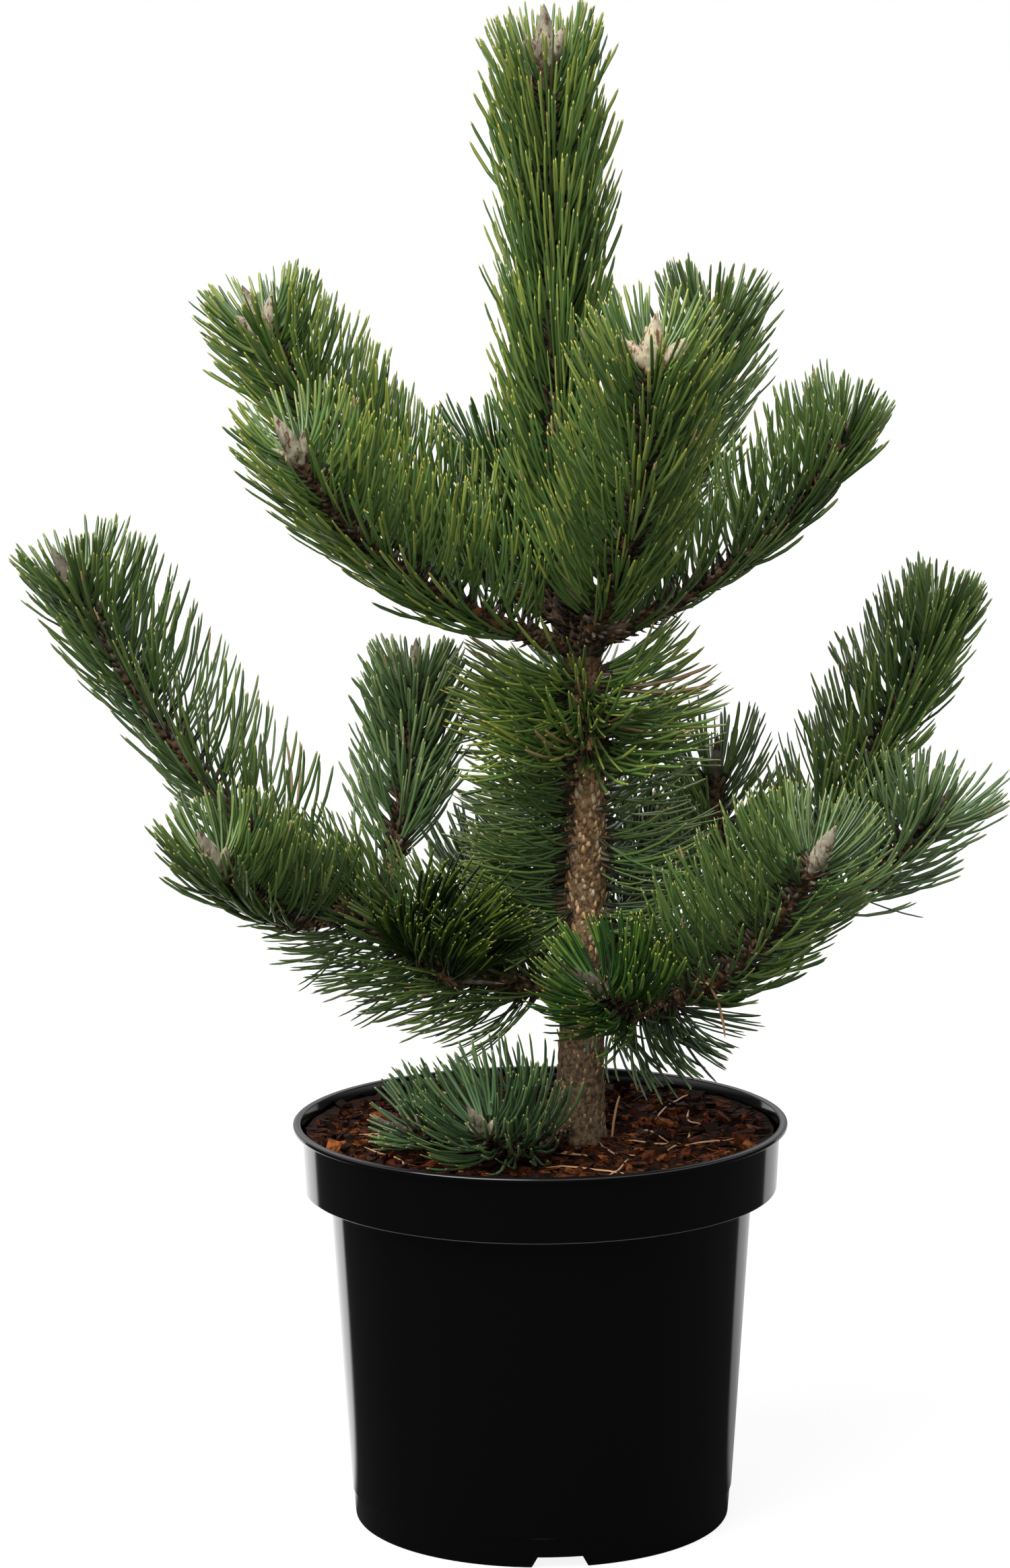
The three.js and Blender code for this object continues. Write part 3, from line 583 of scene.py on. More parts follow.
barkMaterial = newMaterial("scalyBark", {"Specular IOR Level": 0.25}, barkLook)
plateMaterials = lookSet(plateLook, 0.25, [
    ("brownPlate", (96, 74, 54), (156, 126, 94)),
    ("greyPlate", (90, 76, 60), (150, 132, 108)),
    ("rustPlate", (104, 76, 51), (156, 120, 85)),
])
shootMaterial = newMaterial("youngShoot", {"Specular IOR Level": 0.3}, shootLook)
budMaterials = lookSet(budLook, 0.2, [
    ("paleBud", (200, 187, 158), (168, 156, 134), (116, 82, 56)),
    ("greyBud", (164, 156, 134), (124, 116, 100), (84, 62, 46)),
    ("darkBud", (104, 98, 84), (74, 68, 58), (46, 36, 28)),
])
potMaterial = newMaterial(
    "blackPlastic", {"Base Color": colour(3, 3, 4), "Specular IOR Level": 0.5}, potLook)
lipMaterial = newMaterial(
    "rubbedLip", {"Base Color": colour(4, 4, 5), "Roughness": 0.36, "Specular IOR Level": 0.14})
# light grey on the edge under the band: a painted highlight line
highlightEdgeMaterial = newMaterial("polishedEdge", {"Base Color": colour(92, 93, 98), "Roughness": 0.25})
soilMaterial = newMaterial("wetSubstrate", {"Specular IOR Level": 0.08}, soilLook)
chipMaterials = lookSet(chipLook, 0.06, [
    ("darkChips", (12, 6, 4), (40, 20, 11)),
    ("redChips", (28, 13, 7), (86, 42, 21)),
    ("paleChips", (58, 30, 15), (138, 78, 38)),
])

# four greens dealt out sheath by sheath, then the root's painted shade, the outer part's painted light and
# the point's yellow
# bright, mid and dark are lit and shaded copies of one green: painted light and painted shade
needleTones = {
    "bright": [
        (86, 116, 54), (101, 130, 62), (74, 101, 48), (117, 142, 70),
        (38, 54, 26), (130, 146, 64), (180, 170, 66)],
    "mid": [
        (75, 102, 49), (89, 116, 56), (63, 88, 44), (104, 127, 64),
        (34, 50, 25), (102, 122, 62), (150, 148, 68)],
    "dark": [
        (56, 80, 42), (66, 92, 48), (46, 68, 38), (80, 104, 56),
        (26, 38, 21), (76, 100, 54), (108, 116, 60)],
    "lush": [
        (42, 73, 24), (50, 83, 27), (33, 60, 21), (65, 98, 34),
        (21, 36, 15), (86, 114, 42), (160, 158, 62)],
    "shaded": [
        (31, 46, 15), (38, 56, 18), (25, 39, 14), (54, 73, 23),
        (15, 24, 9), (68, 86, 26), (136, 138, 50)],
    "cool": [
        (62, 88, 54), (76, 104, 66), (52, 76, 48), (94, 118, 80),
        (28, 44, 27), (96, 122, 72), (146, 150, 76)],
    # a pale grey copy of the green: painted sheen where the needles catch the light
    "silver": [
        (93, 121, 74), (106, 132, 84), (80, 106, 64), (120, 144, 94),
        (40, 56, 34), (128, 148, 96), (166, 166, 92)],
}
needleParts = ["Needle1", "Needle2", "Needle3", "Needle4", "Deep", "Pale", "Tip"]
leafGloss = {"Roughness": 0.38, "Specular IOR Level": 0.65, "Coat Weight": 0.15, "Coat Roughness": 0.3}
shadedGloss = {**leafGloss, "Specular IOR Level": 0.3, "Coat Weight": 0.0}
dryRoughness = 0.6
dryTones = {"Dead": (166, 136, 98), "DryPoint": (150, 126, 86)}
leafMaterials = {}
for shadeName, greenRow in needleTones.items():
    gloss = shadedGloss if shadeName == "shaded" else leafGloss
    dryGloss = {**gloss, "Roughness": dryRoughness}
    leafMaterials[shadeName] = [
        newMaterial(shadeName + part, {**gloss, "Base Color": colour(*tone)})
        for part, tone in zip(needleParts, greenRow)
    ] + [
        newMaterial(shadeName + part, {**dryGloss, "Base Color": colour(*tone)})
        for part, tone in dryTones.items()
    ]
tanMaterial = newMaterial(
    "deadNeedle", {**leafGloss, "Base Color": colour(176, 132, 88), "Roughness": dryRoughness})
sheathTones = {"greySheath": (108, 98, 82), "brownSheath": (84, 62, 44), "darkSheath": (46, 38, 28)}
sheathMaterials = [
    newMaterial(name, {"Base Color": colour(*tone), "Roughness": 0.9}) for name, tone in sheathTones.items()]
print("materials ready")


# pot
pot = {
    "height": 229, "rimRadius": 140, "wall": 2, "floor": 2.5, "segments": 128,
    "lipHeight": 3.2, "lipDepth": 4.6,
    "bandFoot": 190.7, "bandFootRadius": 133.8, "bandTopRadius": 135.6,
    "shoulderRadius": 119.6, "footRadius": 106.5, "ringHeight": 17,
    "drains": 3, "drainHeading": -85, "drainWidth": 33, "drainTop": 25, "drainHeight": 6.4, "drainInner": 62,
}


def arc(centre, radius, fromDegrees, toDegrees, steps=4):
    turns = [math.radians(fromDegrees + (toDegrees - fromDegrees) * i / steps) for i in range(steps + 1)]
    return [(centre[0] + radius * math.cos(t), centre[1] + radius * math.sin(t)) for t in turns]


def potProfile():
    # radius and height of each ring, from the middle of the underside round the lip to the floor
    top, wall, floor, drop = pot["height"], pot["wall"], pot["floor"], pot["lipDepth"]
    foot, shoulder, edge = pot["footRadius"], pot["shoulderRadius"], pot["rimRadius"]
    band, low, high = pot["bandFoot"], pot["bandFootRadius"], pot["bandTopRadius"]
    ring, step, lip = foot + 1.2, pot["ringHeight"], top - pot["lipHeight"]
    return [
        (20, 0), (foot - 12, 0), *arc((foot - 2, 2), 2, -90, 0),
        (ring, step - 1), (ring + 0.1, step), (ring + 0.8, step + 0.8), (ring + 0.9, step + 2),
        (shoulder - 0.3, band - 9), (shoulder, band - 4), (shoulder + 0.7, band - 1.8),
        (shoulder + 2.6, band - 0.6), (shoulder + 5, band), (low - 4, band),
        *arc((low - 1.2, band + 1.2), 1.2, -90, 0),
        (high - 0.2, lip - 3), (high + 0.2, lip - 0.6), (high + 1, lip),
        *arc((edge - 1.3, lip + 1.3), 1.3, -90, 0, 3), *arc((edge - 1.6, top - 1.6), 1.6, 0, 90, 5),
        (edge - 3.6, top - 0.5), (edge - drop + 0.4, top - 0.2), (edge - drop, top - 0.8),
        (high - wall, top - 6), (low - wall, band + wall + 1.4),
        (shoulder + 2 - wall, band + wall), (shoulder - wall, band - 2),
        (ring - wall, step), (foot - wall, floor + 2), (foot - 2 - wall, floor), (20, floor),
    ]


def makePot():
    rings = potProfile()
    first = rings[0]
    bpy.ops.mesh.primitive_circle_add(
        vertices=pot["segments"], radius=first[0] * mm, fill_type="NGON", location=(0, 0, first[1] * mm))
    piece = bpy.context.object
    piece.name = "nurseryPot"
    bpy.ops.object.mode_set(mode="EDIT")
    bpy.ops.mesh.select_all(action="SELECT")
    bpy.ops.mesh.flip_normals()
    bpy.ops.mesh.select_mode(type="EDGE")
    bpy.ops.mesh.select_all(action="DESELECT")
    bpy.ops.mesh.select_non_manifold()
    for (before, low), (radius, high) in zip(rings, rings[1:]):
        bpy.ops.mesh.extrude_edges_move(TRANSFORM_OT_translate={"value": (0, 0, (high - low) * mm)})
        bpy.ops.transform.resize(
            value=(radius / before, radius / before, 1), center_override=(0, 0, high * mm))
    bpy.ops.mesh.edge_face_add()
    bpy.ops.mesh.select_all(action="SELECT")
    bpy.ops.mesh.normals_make_consistent(inside=False)
    bpy.ops.object.mode_set(mode="OBJECT")
    bpy.ops.object.transform_apply()
    for i in range(pot["drains"]):
        cutDrain(piece, pot["drainHeading"] + 360 / pot["drains"] * i)
    bpy.ops.object.shade_smooth_by_angle(angle=math.radians(32))
    for material in (potMaterial, highlightEdgeMaterial, lipMaterial):
        piece.data.materials.append(material)
    # the edge under the band is light grey as a painted highlight, and the top of the lip is rubbed
    for face in piece.data.polygons:
        out, high = math.hypot(*face.center[:2]) / mm, face.center[2] / mm
        face.material_index = out > pot["bandFootRadius"] - 1.1 and 0.2 < high - pot["bandFoot"] < 0.8
        if face.normal.z > 0.5 and high > pot["height"] - 2:
            face.material_index = 2
    dress(piece, "pot", "pot")


def cutDrain(piece, degrees):
    # a channel out through the foot ring, narrower at its head
    length = pot["rimRadius"] - pot["drainInner"]
    middle = heading(degrees) * (pot["drainInner"] + length / 2)
    bpy.ops.mesh.primitive_cube_add(size=1)
    cutter = bpy.context.object
    for vertex in cutter.data.vertices:
        x, y, z = vertex.co
        width = pot["drainWidth"] if z < 0 else pot["drainTop"]
        vertex.co = (x * length, y * width, -1 if z < 0 else pot["drainHeight"])
        vertex.co = Matrix.Rotation(math.radians(degrees), 3, "Z") @ vertex.co
        vertex.co = (vertex.co + Vector(middle)) * mm
    bpy.context.view_layer.objects.active = piece
    cut = piece.modifiers.new("drain", "BOOLEAN")
    cut.operation = "DIFFERENCE"
    cut.object = cutter
    bpy.ops.object.modifier_apply(modifier="drain")
    bpy.data.objects.remove(cutter)
    deselect()
    piece.select_set(True)


# soil, chips and fibres
soil = {
    "radius": 132.2, "insets": 42, "segments": 96, "relief": 2.4, "skirt": 24,
    "heap": 5.5, "heapSide": 2.5,  # how much higher the substrate lies at the wall
    "chips": 2600, "largestChip": (13, 8, 3), "chipTilt": 0.42,
    "fibres": 420, "fibreLength": (8, 22), "fibreLift": 2.2,
    "deadNeedles": 22, "deadLength": (30, 56), "seed": 5,
    "trunkFree": 17,  # how far from the trunk's middle nothing is strewn
}


def softNoise(rows, scale, seed):
    # smooth noise of points in the plane, from a few crossed waves
    rng = np.random.default_rng(seed)
    total = np.zeros(rows.shape[:-1])
    for octave in range(5):
        for _ in range(4):
            way = rng.uniform(0, 2 * math.pi)
            wave = scale / 1.7 ** octave
            phase = (rows[..., 0] * math.cos(way) + rows[..., 1] * math.sin(way)) * 2 * math.pi / wave
            total += np.sin(phase + rng.uniform(0, 6.28)) / 1.5 ** octave
    return total / 6


def soilHeight(rows):
    # height of the substrate under points: lumpy, and heaped towards the wall
    out = np.clip(np.hypot(rows[..., 0], rows[..., 1]) / soil["radius"], 0, 1)
    heap = soil["heap"] + soil["heapSide"] * np.abs(rows[..., 0]) / soil["radius"]
    return soilTop + 0.5 + soil["relief"] * softNoise(rows, 46, 8) * (1 - 0.5 * out ** 4) + heap * out ** 2.4


def makeSoil():
    bpy.ops.mesh.primitive_cylinder_add(
        vertices=soil["segments"], radius=soil["radius"] * mm, depth=soil["skirt"] * mm,
        location=(0, 0, (soilTop - soil["skirt"] / 2) * mm))
    piece = bpy.context.object
    piece.name = "pottingSoil"
    bpy.ops.object.mode_set(mode="EDIT")
    bpy.ops.mesh.select_mode(type="FACE")
    bpy.ops.mesh.select_all(action="DESELECT")
    bpy.ops.object.mode_set(mode="OBJECT")
    for face in piece.data.polygons:
        face.select = face.normal.z > 0.9
    bpy.ops.object.mode_set(mode="EDIT")
    for _ in range(soil["insets"]):
        bpy.ops.mesh.inset(thickness=soil["radius"] / (soil["insets"] + 1) * mm, depth=0)
    bpy.ops.object.mode_set(mode="OBJECT")
    bpy.ops.object.transform_apply()
    places = np.array([v.co for v in piece.data.vertices]) / mm
    top = places[:, 2] > soilTop - 1
    places[top, 2] = soilHeight(places[top])
    places[~top, :2] *= 0.9  # the underside is drawn in from the wall
    piece.data.vertices.foreach_set("co", (places * mm).ravel())
    bpy.ops.object.shade_smooth_by_angle(angle=math.radians(60))
    piece.data.materials.append(soilMaterial)
    dress(piece, "soil", "soil")


def scatterPlaces(rng, count, margin):
    # even over the disc, clear of the trunk's foot
    places = np.zeros((0, 2))
    while len(places) < count:
        tries = rng.uniform(-1, 1, (count, 2)) * (soil["radius"] - margin)
        free = np.hypot(tries[:, 0], tries[:, 1]) < soil["radius"] - margin
        free &= np.hypot(tries[:, 0] - trunkLine[0][0], tries[:, 1]) > soil["trunkFree"]
        places = np.concatenate([places, tries[free]])
    return places[:count]


def turned(bodies, angles, first, second):
    # each body turned by its own angle in the plane of two axes
    cosine, sine = np.cos(angles)[:, None], np.sin(angles)[:, None]
    rows = bodies.copy()
    rows[..., first] = bodies[..., first] * cosine - bodies[..., second] * sine
    rows[..., second] = bodies[..., first] * sine + bodies[..., second] * cosine
    return rows


def makeChips():
    # flat splinters of bark with uneven corners, tilted every way
    rng = np.random.default_rng(soil["seed"])
    count = soil["chips"]
    places = scatterPlaces(rng, count, 5)
    size = rng.gamma(2.4, 1.0, count)[:, None] * np.array([1.9, 1.15, 0.5]) + np.array([1.2, 0.9, 0.5])
    size = np.minimum(size, soil["largestChip"])
    corner = np.array([(x, y, z) for z in (-1, 1) for x, y in ((-1, -1), (1, -1), (1, 1), (-1, 1))], float)
    body = corner[None] * size[:, None] * rng.uniform(0.55, 1.1, (count, 8, 3)) / 2 * 1.25
    yaw = rng.uniform(0, 2 * math.pi, count)
    pitch = rng.normal(0, soil["chipTilt"], count)
    chips = turned(turned(body, pitch, 0, 2), yaw, 0, 1)
    chips[..., :2] += places[:, None]
    chips[..., 2] += (soilHeight(places) + rng.uniform(-0.4, 1.4, count))[:, None]
    face = np.array([(0, 3, 2, 1), (4, 5, 6, 7), (0, 1, 5, 4), (1, 2, 6, 5), (2, 3, 7, 6), (3, 0, 4, 7)])
    faces = (face[None] + (np.arange(count) * 8)[:, None, None]).reshape(-1, 4)
    kind = rng.choice(3, count, p=(0.52, 0.38, 0.1))
    slots = [np.repeat(kind, len(face))]
    dress(meshPiece("barkChips", chips.reshape(-1, 3), [faces], chipMaterials, slots, False), "soil")


def makeFibres():
    # coir hairs and a few dead needles that lie over the chips
    rng = np.random.default_rng(soil["seed"] + 1)
    count = soil["fibres"]
    places = scatterPlaces(rng, count, 16)
    start = np.column_stack([places, np.zeros(count)])
    way = np.stack([heading(h) for h in rng.uniform(0, 360, count)])
    bend = np.stack([heading(h) for h in rng.uniform(0, 360, count)])
    length = rng.uniform(*soil["fibreLength"], count)
    dead = np.arange(count) < soil["deadNeedles"]
    length[dead] = rng.uniform(*soil["deadLength"], soil["deadNeedles"])
    t = np.linspace(-0.5, 0.5, 7)[None, :, None]
    paths = start[:, None] + length[:, None, None] * (way[:, None] * t + bend[:, None] * 0.5 * t ** 2)
    out = np.hypot(paths[..., 0], paths[..., 1])
    limit = soil["radius"] - 4
    inward = np.where(out > limit, limit / np.maximum(out, 1), 1)
    paths[..., :2] *= inward[..., None]
    paths[..., 2] = soilHeight(paths) + soil["fibreLift"] + rng.uniform(0, 0.8, (count, 1))
    across = np.cross(way, up)
    half = np.where(dead, 0.8, 0.26)[:, None] * np.array([0.5, 0.9, 1, 1, 1, 0.9, 0.4])
    rods = sweptArrays(paths, across, half, half * 0.8, 4)
    kinds = np.where(dead, 0, rng.choice([1, 2], count))
    rodPiece("coirFibres", [rods], [tanMaterial, *chipMaterials[1:]], kinds, "soil")


# wood
wood = {"step": 2.0, "shootStep": 3.0, "trunkSides": 60, "sides": 20, "shootSides": 14}
# plates that the old needles stood on, and dry scales: spacing, length, half width, thickness, lean
flakeKinds = {
    "scar": (0.3, 4.6, 1.5, 0.7, 13), "boughScar": (0.6, 3.8, 1.1, 0.6, 16),
    "scale": (1.1, 5.5, 1.5, 0.5, 34), "footScale": (0.9, 5.5, 1.5, 0.5, 44),
    "collar": (0.2, 8.0, 2.0, 0.6, 58),
}


def sweepLimb(limb, fromShare, toShare, sides, radiusAt, step):
    # the limb as a beveled curve, turned into a mesh
    count = max(3, round((toShare - fromShare) * limb.length / step))
    shares = np.linspace(fromShare, toShare, count)
    bpy.ops.curve.primitive_nurbs_path_add()
    piece = bpy.context.object
    data = piece.data
    data.splines.clear()
    spline = data.splines.new("POLY")
    spline.points.add(count - 1)
    points = limb.at(shares)[0] * mm
    radii = radiusAt(shares) * mm
    spline.points.foreach_set("co", np.column_stack([points, np.ones(count)]).ravel())
    spline.points.foreach_set("radius", radii)
    data.dimensions = "3D"
    data.bevel_depth = 1
    data.bevel_resolution = (sides - 4) // 2
    data.use_fill_caps = True
    bpy.ops.object.convert(target="MESH")
    bpy.ops.object.transform_apply()
    return bpy.context.object


def woodPiece(name, parts, relief, material, *nodes):
    # the parts joined and roughened: relief holds each texture's kind, size and strength
    deselect()
    for part in parts:
        part.select_set(True)
    bpy.context.view_layer.objects.active = parts[0]
    bpy.ops.object.join()
    piece = bpy.context.object
    piece.name = name
    deselect()
    for kind, size, strength in relief:
        texture = bpy.data.textures.new(name + kind, kind)
        texture.noise_scale = size * mm
        modifier = piece.modifiers.new("relief", "DISPLACE")
        modifier.texture = texture
        modifier.texture_coords = "LOCAL"
        modifier.strength = strength * mm
        modifier.mid_level = 0.5
        bpy.ops.object.modifier_apply(modifier="relief")
    bpy.ops.object.shade_smooth()
    piece.data.materials.append(material)
    dress(piece, "bark", *nodes)


def flakes(kind, limb, fromShare, toShare, radiusAt, seed):
    # small pegs or scales in a spiral on a limb's skin
    every, length, halfWidth, thickness, lean = flakeKinds[kind]
    rng = np.random.default_rng(seed)
    count = max(2, round((toShare - fromShare) * limb.length / every))
    k = np.arange(count)
    share = fromShare + (toShare - fromShare) * (k + rng.uniform(0.1, 0.9, count)) / count
    point, way, side, other = limb.at(share)
    roll = (k * goldenAngle + rng.uniform(-0.2, 0.2, count))[:, None]
    radial = np.cos(roll) * side + np.sin(roll) * other
    root = point + radial * (radiusAt(share) * 0.93)[:, None]
    angle = np.radians(lean + rng.uniform(-14, 14, count))[:, None]
    reach = way * np.cos(angle) + radial * np.sin(angle)
    long = (length * rng.uniform(0.6, 1.2, count))[:, None]
    paths = np.stack([root, root + reach * long * 0.55, root + reach * long + way * long * 0.1], 1)
    half = np.array([1, 0.95, 0.35])[None] * halfWidth * rng.uniform(0.75, 1.2, (count, 1))
    return sweptArrays(paths, np.cross(radial, way), half, half * thickness / halfWidth, 6)


def makeWood():
    trunk, step = limbs["trunk"], wood["step"]
    parts = [sweepLimb(trunk, 0.0, 0.95, wood["trunkSides"], trunk.radius, step)]
    parts += [sweepLimb(b, 0.005, b.bare + 0.01, wood["sides"], b.radius, step) for b in boughs]
    relief = [("CLOUDS", 9, 1.6), ("VORONOI", 3.4, 0.9)]
    replaced = [f"{b.name}_bough" for b in boughs]
    woodPiece("trunkAndBoughs", parts, relief, barkMaterial, "trunk", *replaced)


def makeShoots():
    sides, step = wood["shootSides"], wood["shootStep"]
    parts = [sweepLimb(b, b.bare, b.neck() + 0.01, sides, b.shootRadius, step) for b in boughs]
    woodPiece("youngShoots", parts, [("VORONOI", 4, 1.6)], shootMaterial)


def makeScars():
    trunk = limbs["trunk"]
    sets = [flakes("scar", trunk, 0.01, 0.45, trunk.radius, 11)]
    sets += [flakes("boughScar", b, 0.06, b.bare, b.radius, 20 + i) for i, b in enumerate(boughs)]
    dealtPiece("needleScars", sets, plateMaterials, (0.5, 0.3, 0.2), 4)


def makeScales():
    # along the leader and the shoots, and crowded ones at the whorl and each shoot's foot
    trunk = limbs["trunk"]
    sets = [
        flakes("scale", trunk, 0.5, 0.94, trunk.radius, 61),
        flakes("collar", trunk, 0.435, 0.485, trunk.radius, 62),
    ]
    for i, limb in enumerate(boughs):
        foot = limb.bare * (0.3 if limb.on == "trunk" else 0.1)
        sets.append(flakes("scale", limb, limb.bare, limb.neck(), limb.shootRadius, 70 + i))
        sets.append(flakes("footScale", limb, foot, limb.bare + 0.02, limb.radius, 100 + i))
    # the whorl's collar scales all take the dark tone: dark scales, darkened further as painted shade under
    # the whorl
    dealtPiece("dryScales", sets, sheathMaterials, (0.34, 0.36, 0.3), 3, darkSet=1)


def dealtPiece(name, sets, materials, shares, seed, darkSet=None):
    # three tones dealt out by chance, in the given shares; one set may take the third alone
    counts = [len(ends) // 2 for _, _, ends in sets]
    kinds = np.random.default_rng(seed).choice(3, sum(counts), p=shares)
    if darkSet is not None:
        start = sum(counts[:darkSet])
        kinds[start:start + counts[darkSet]] = 2
    rodPiece(name, sets, materials, kinds)


# needles and buds
leaf = {
    "stations": (0, 0.2, 0.45, 0.7, 0.9, 0.975, 1),
    "halfWidth": (0.7, 0.96, 1.04, 1.04, 0.94, 0.62, 0.16),
    "flat": 0.62, "sides": 4, "spread": 3.4, "seed": 101, "sleeveSeed": 151,
    # pale is the share of needles whose outer part takes the paler tone, painted light
    "greenShares": (0.34, 0.28, 0.26, 0.12), "dead": 0.0012, "dryPoint": 0.012, "pale": 0.4,
}
sheath = {"length": 7, "halfWidth": (1.3, 1.2, 0.9), "sides": 5}
shootWood = {"foot": 4.6, "tip": 3.3}
bud = {
    "length": 28, "radius": 5.4, "rings": 26, "sides": 16,
    "sideLength": 22, "sideRadius": 4.3, "sideRings": 18, "sideSides": 12,
    "leaderNeck": 0.952, "sunk": 6, "drop": 2, "seed": 31,
    "profile": ((0, 0.5), (0.08, 0.72), (0.3, 1), (0.55, 0.94), (0.78, 0.62), (0.92, 0.26), (1, 0.06)),
}
# size, skin (0 pale, 1 grey, 2 dark), and the side buds' share of the size and their spread
plainBud = (0.85, 1, 1, 0.7)
budTable = {
    "trunk": (1.05, 1, 1, 0.5), "upper_front": (1.12, 0, 1, 0.95), "upper_right": (0.9, 2, 0.8, 0.7),
    "upper_left_back": (1, 1, 1, 0.6), "upper_left_front": (0.95, 1, 0.85, 0.6),
    "lower_left": (0.85, 2, 1, 0.7), "lower_back_upright": (0.62, 2, 0.7, 0.7),
    "lower_left_front": (0.9, 1, 0.9, 0.55), "lower_right_front": (0.95, 1, 0.5, 0.6),
    "lower_right_back": (0.7, 2, 0.6, 0.7), "lower_right": (0.6, 2, 0.6, 0.7),
    "lower_left_inner": (0.25, 2, 0.5, 0.7), "lower_front": (0.6, 2, 1, 0.7),
    "foot_front": (0.62, 1, 1, 0.6), "foot_left": (0.4, 2, 0.6, 0.7),
}


# how far needles keep from other limbs, the soil and the pot
clearance = {"wood": 1.2, "soil": 2.5, "wall": 8, "lip": 1.5, "beside": 2}
woodLines = np.concatenate([limb.line for limb in limbs.values()])
woodRadii = np.concatenate([limb.radius(limb.shares) for limb in limbs.values()])
woodOwners = np.concatenate([np.full(len(limb.line), i) for i, limb in enumerate(limbs.values())])


def clearOfWood(paths, limb):
    # needles that touch another limb are left out
    mine = list(limbs).index(limb.name)
    others = woodOwners != mine
    lines, radii = woodLines[others], woodRadii[others]
    clear = np.ones(len(paths), bool)
    for station in range(1, paths.shape[1]):
        gaps = np.linalg.norm(paths[:, station, None] - lines[None], axis=2) - radii[None]
        clear &= gaps.min(1) > clearance["wood"]
    return clear


def clearOfPot(paths):
    # needles that reach into the soil, the wall or the lip are left out
    out = np.hypot(paths[..., 0], paths[..., 1])
    beside = out >= pot["rimRadius"] + clearance["beside"]
    overWall = ~beside & (out > pot["bandFootRadius"] - clearance["wall"])
    low = np.where(overWall, pot["height"] + clearance["lip"], soilHeight(paths) + clearance["soil"])
    return (beside | (paths[..., 2] > low)).all(1)


def spiralNeedles(limb, fromShare, toShare, rule, seed):
    # two needles from each sheath, in a spiral up the shoot, by the construction's rule
    rng = np.random.default_rng(seed)
    count = round((toShare - fromShare) * limb.length / rule["every"])
    k = np.arange(count)
    along01 = 1 - (1 - (k + rng.uniform(0.1, 0.9, count)) / count) ** rule["crowding"]
    share = fromShare + (toShare - fromShare) * along01
    point, way, side, other = limb.at(share)
    roll = (k * goldenAngle + rng.uniform(-1, 1, count) * rule["rollScatter"])[:, None]
    radial = np.cos(roll) * side + np.sin(roll) * other
    above = radial[:, 2]
    lean = rule["lean"] + (rule["tipLean"] - rule["lean"]) * along01 ** rule["leanPower"]
    lean += rule["sideLean"] * above * np.where(above > 0, 1, rule["underLean"])
    flat = (1 - np.abs(way[:, 2])) ** 0.75
    lean += rule["sideOut"] * (1 - np.abs(above)) * flat
    lean += rng.normal(0, rule["scatter"], count)
    lean += rule["show"] * np.clip(-radial[:, 1], 0, 1) * np.clip(along01 * 2.5 - 1.4, 0, 1)
    curl = rule["curl"] * (1 + rule["curlSide"] * above) * rng.uniform(0.82, 1.18, count)
    upward = np.interp(above, (-1, -0.4, 0, 0.25, 0.6), (rule["liftUnder"], 0.6, 1, 0.8, 0.35))
    lift = rule["lift"] * flat * upward

    def leaning(degrees, lift):
        angle = np.radians(degrees)[:, None]
        return unit(way * np.cos(angle) + radial * np.sin(angle) + up * lift[:, None])

    first = leaning(np.clip(lean + curl * 0.5, 12, 120), lift * 0.35)
    last = unit(leaning(lean - curl * 0.5, lift * 1.1) + up * rule["rise"])
    keep = ((first * radial).sum(1) > 0.08) & (radial[:, 2] > rule["lowest"])
    keep &= (along01 < rule["cup"]) | (radial[:, 1] > rule["cupBack"])
    keep &= rng.uniform(size=count) > rule["part"] * np.clip(-4 * radial[:, 1] - 2.6, 0, 1)
    keep &= rng.uniform(size=count) > rule["thin"] * np.clip(radial[:, 0] * 2, 0, 1)
    keep &= rng.uniform(size=count) > rule["underThin"] * np.clip(-2.5 * above - 0.6, 0, 1)
    shortening = 1 + (rule["tipLength"] - 1) * along01 ** rule["lengthPower"]
    length = rule["needle"] * rule["reach"] * shortening * rng.uniform(rule["shortest"], 1.0, count)
    length *= np.interp(above, (-0.8, 0), (rule["underLength"], 1))
    root = point + radial * (limb.shootRadius(share) * 0.6)[:, None]
    stations = np.array(leaf["stations"])[None, :, None]
    apart = unit(np.cross(first, rng.normal(size=(count, 3))))
    pairs = []
    for sign in (-1, 1):
        wobble = rng.normal(0, 0.018, (count, 3))
        start = unit(first + apart * sign * math.radians(leaf["spread"]) + wobble)
        end = unit(last + apart * sign * math.radians(leaf["spread"] * 1.7) + wobble)
        reach = (length * rng.uniform(0.94, 1.0, count))[:, None, None]
        bend = (end - start)[:, None] * stations ** 2 / 2
        paths = root[:, None] + reach * (start[:, None] * stations + bend)
        free = keep & clearOfPot(paths[:, 1:]) & clearOfWood(paths[:, 1:], limb)
        pairs.append((paths[free], apart[free], k[free]))
    held = np.isin(k, np.concatenate([pairs[0][2], pairs[1][2]]))
    sheathEnd = root + first * (sheath["length"] + limb.shootRadius(share) * 0.4)[:, None]
    sheaths = np.stack([root, (root + sheathEnd) / 2, sheathEnd], 1)[held]
    paths, across, owner = (np.concatenate([pairs[0][i], pairs[1][i]]) for i in range(3))
    return paths, across, owner, sheaths, apart[held], rng


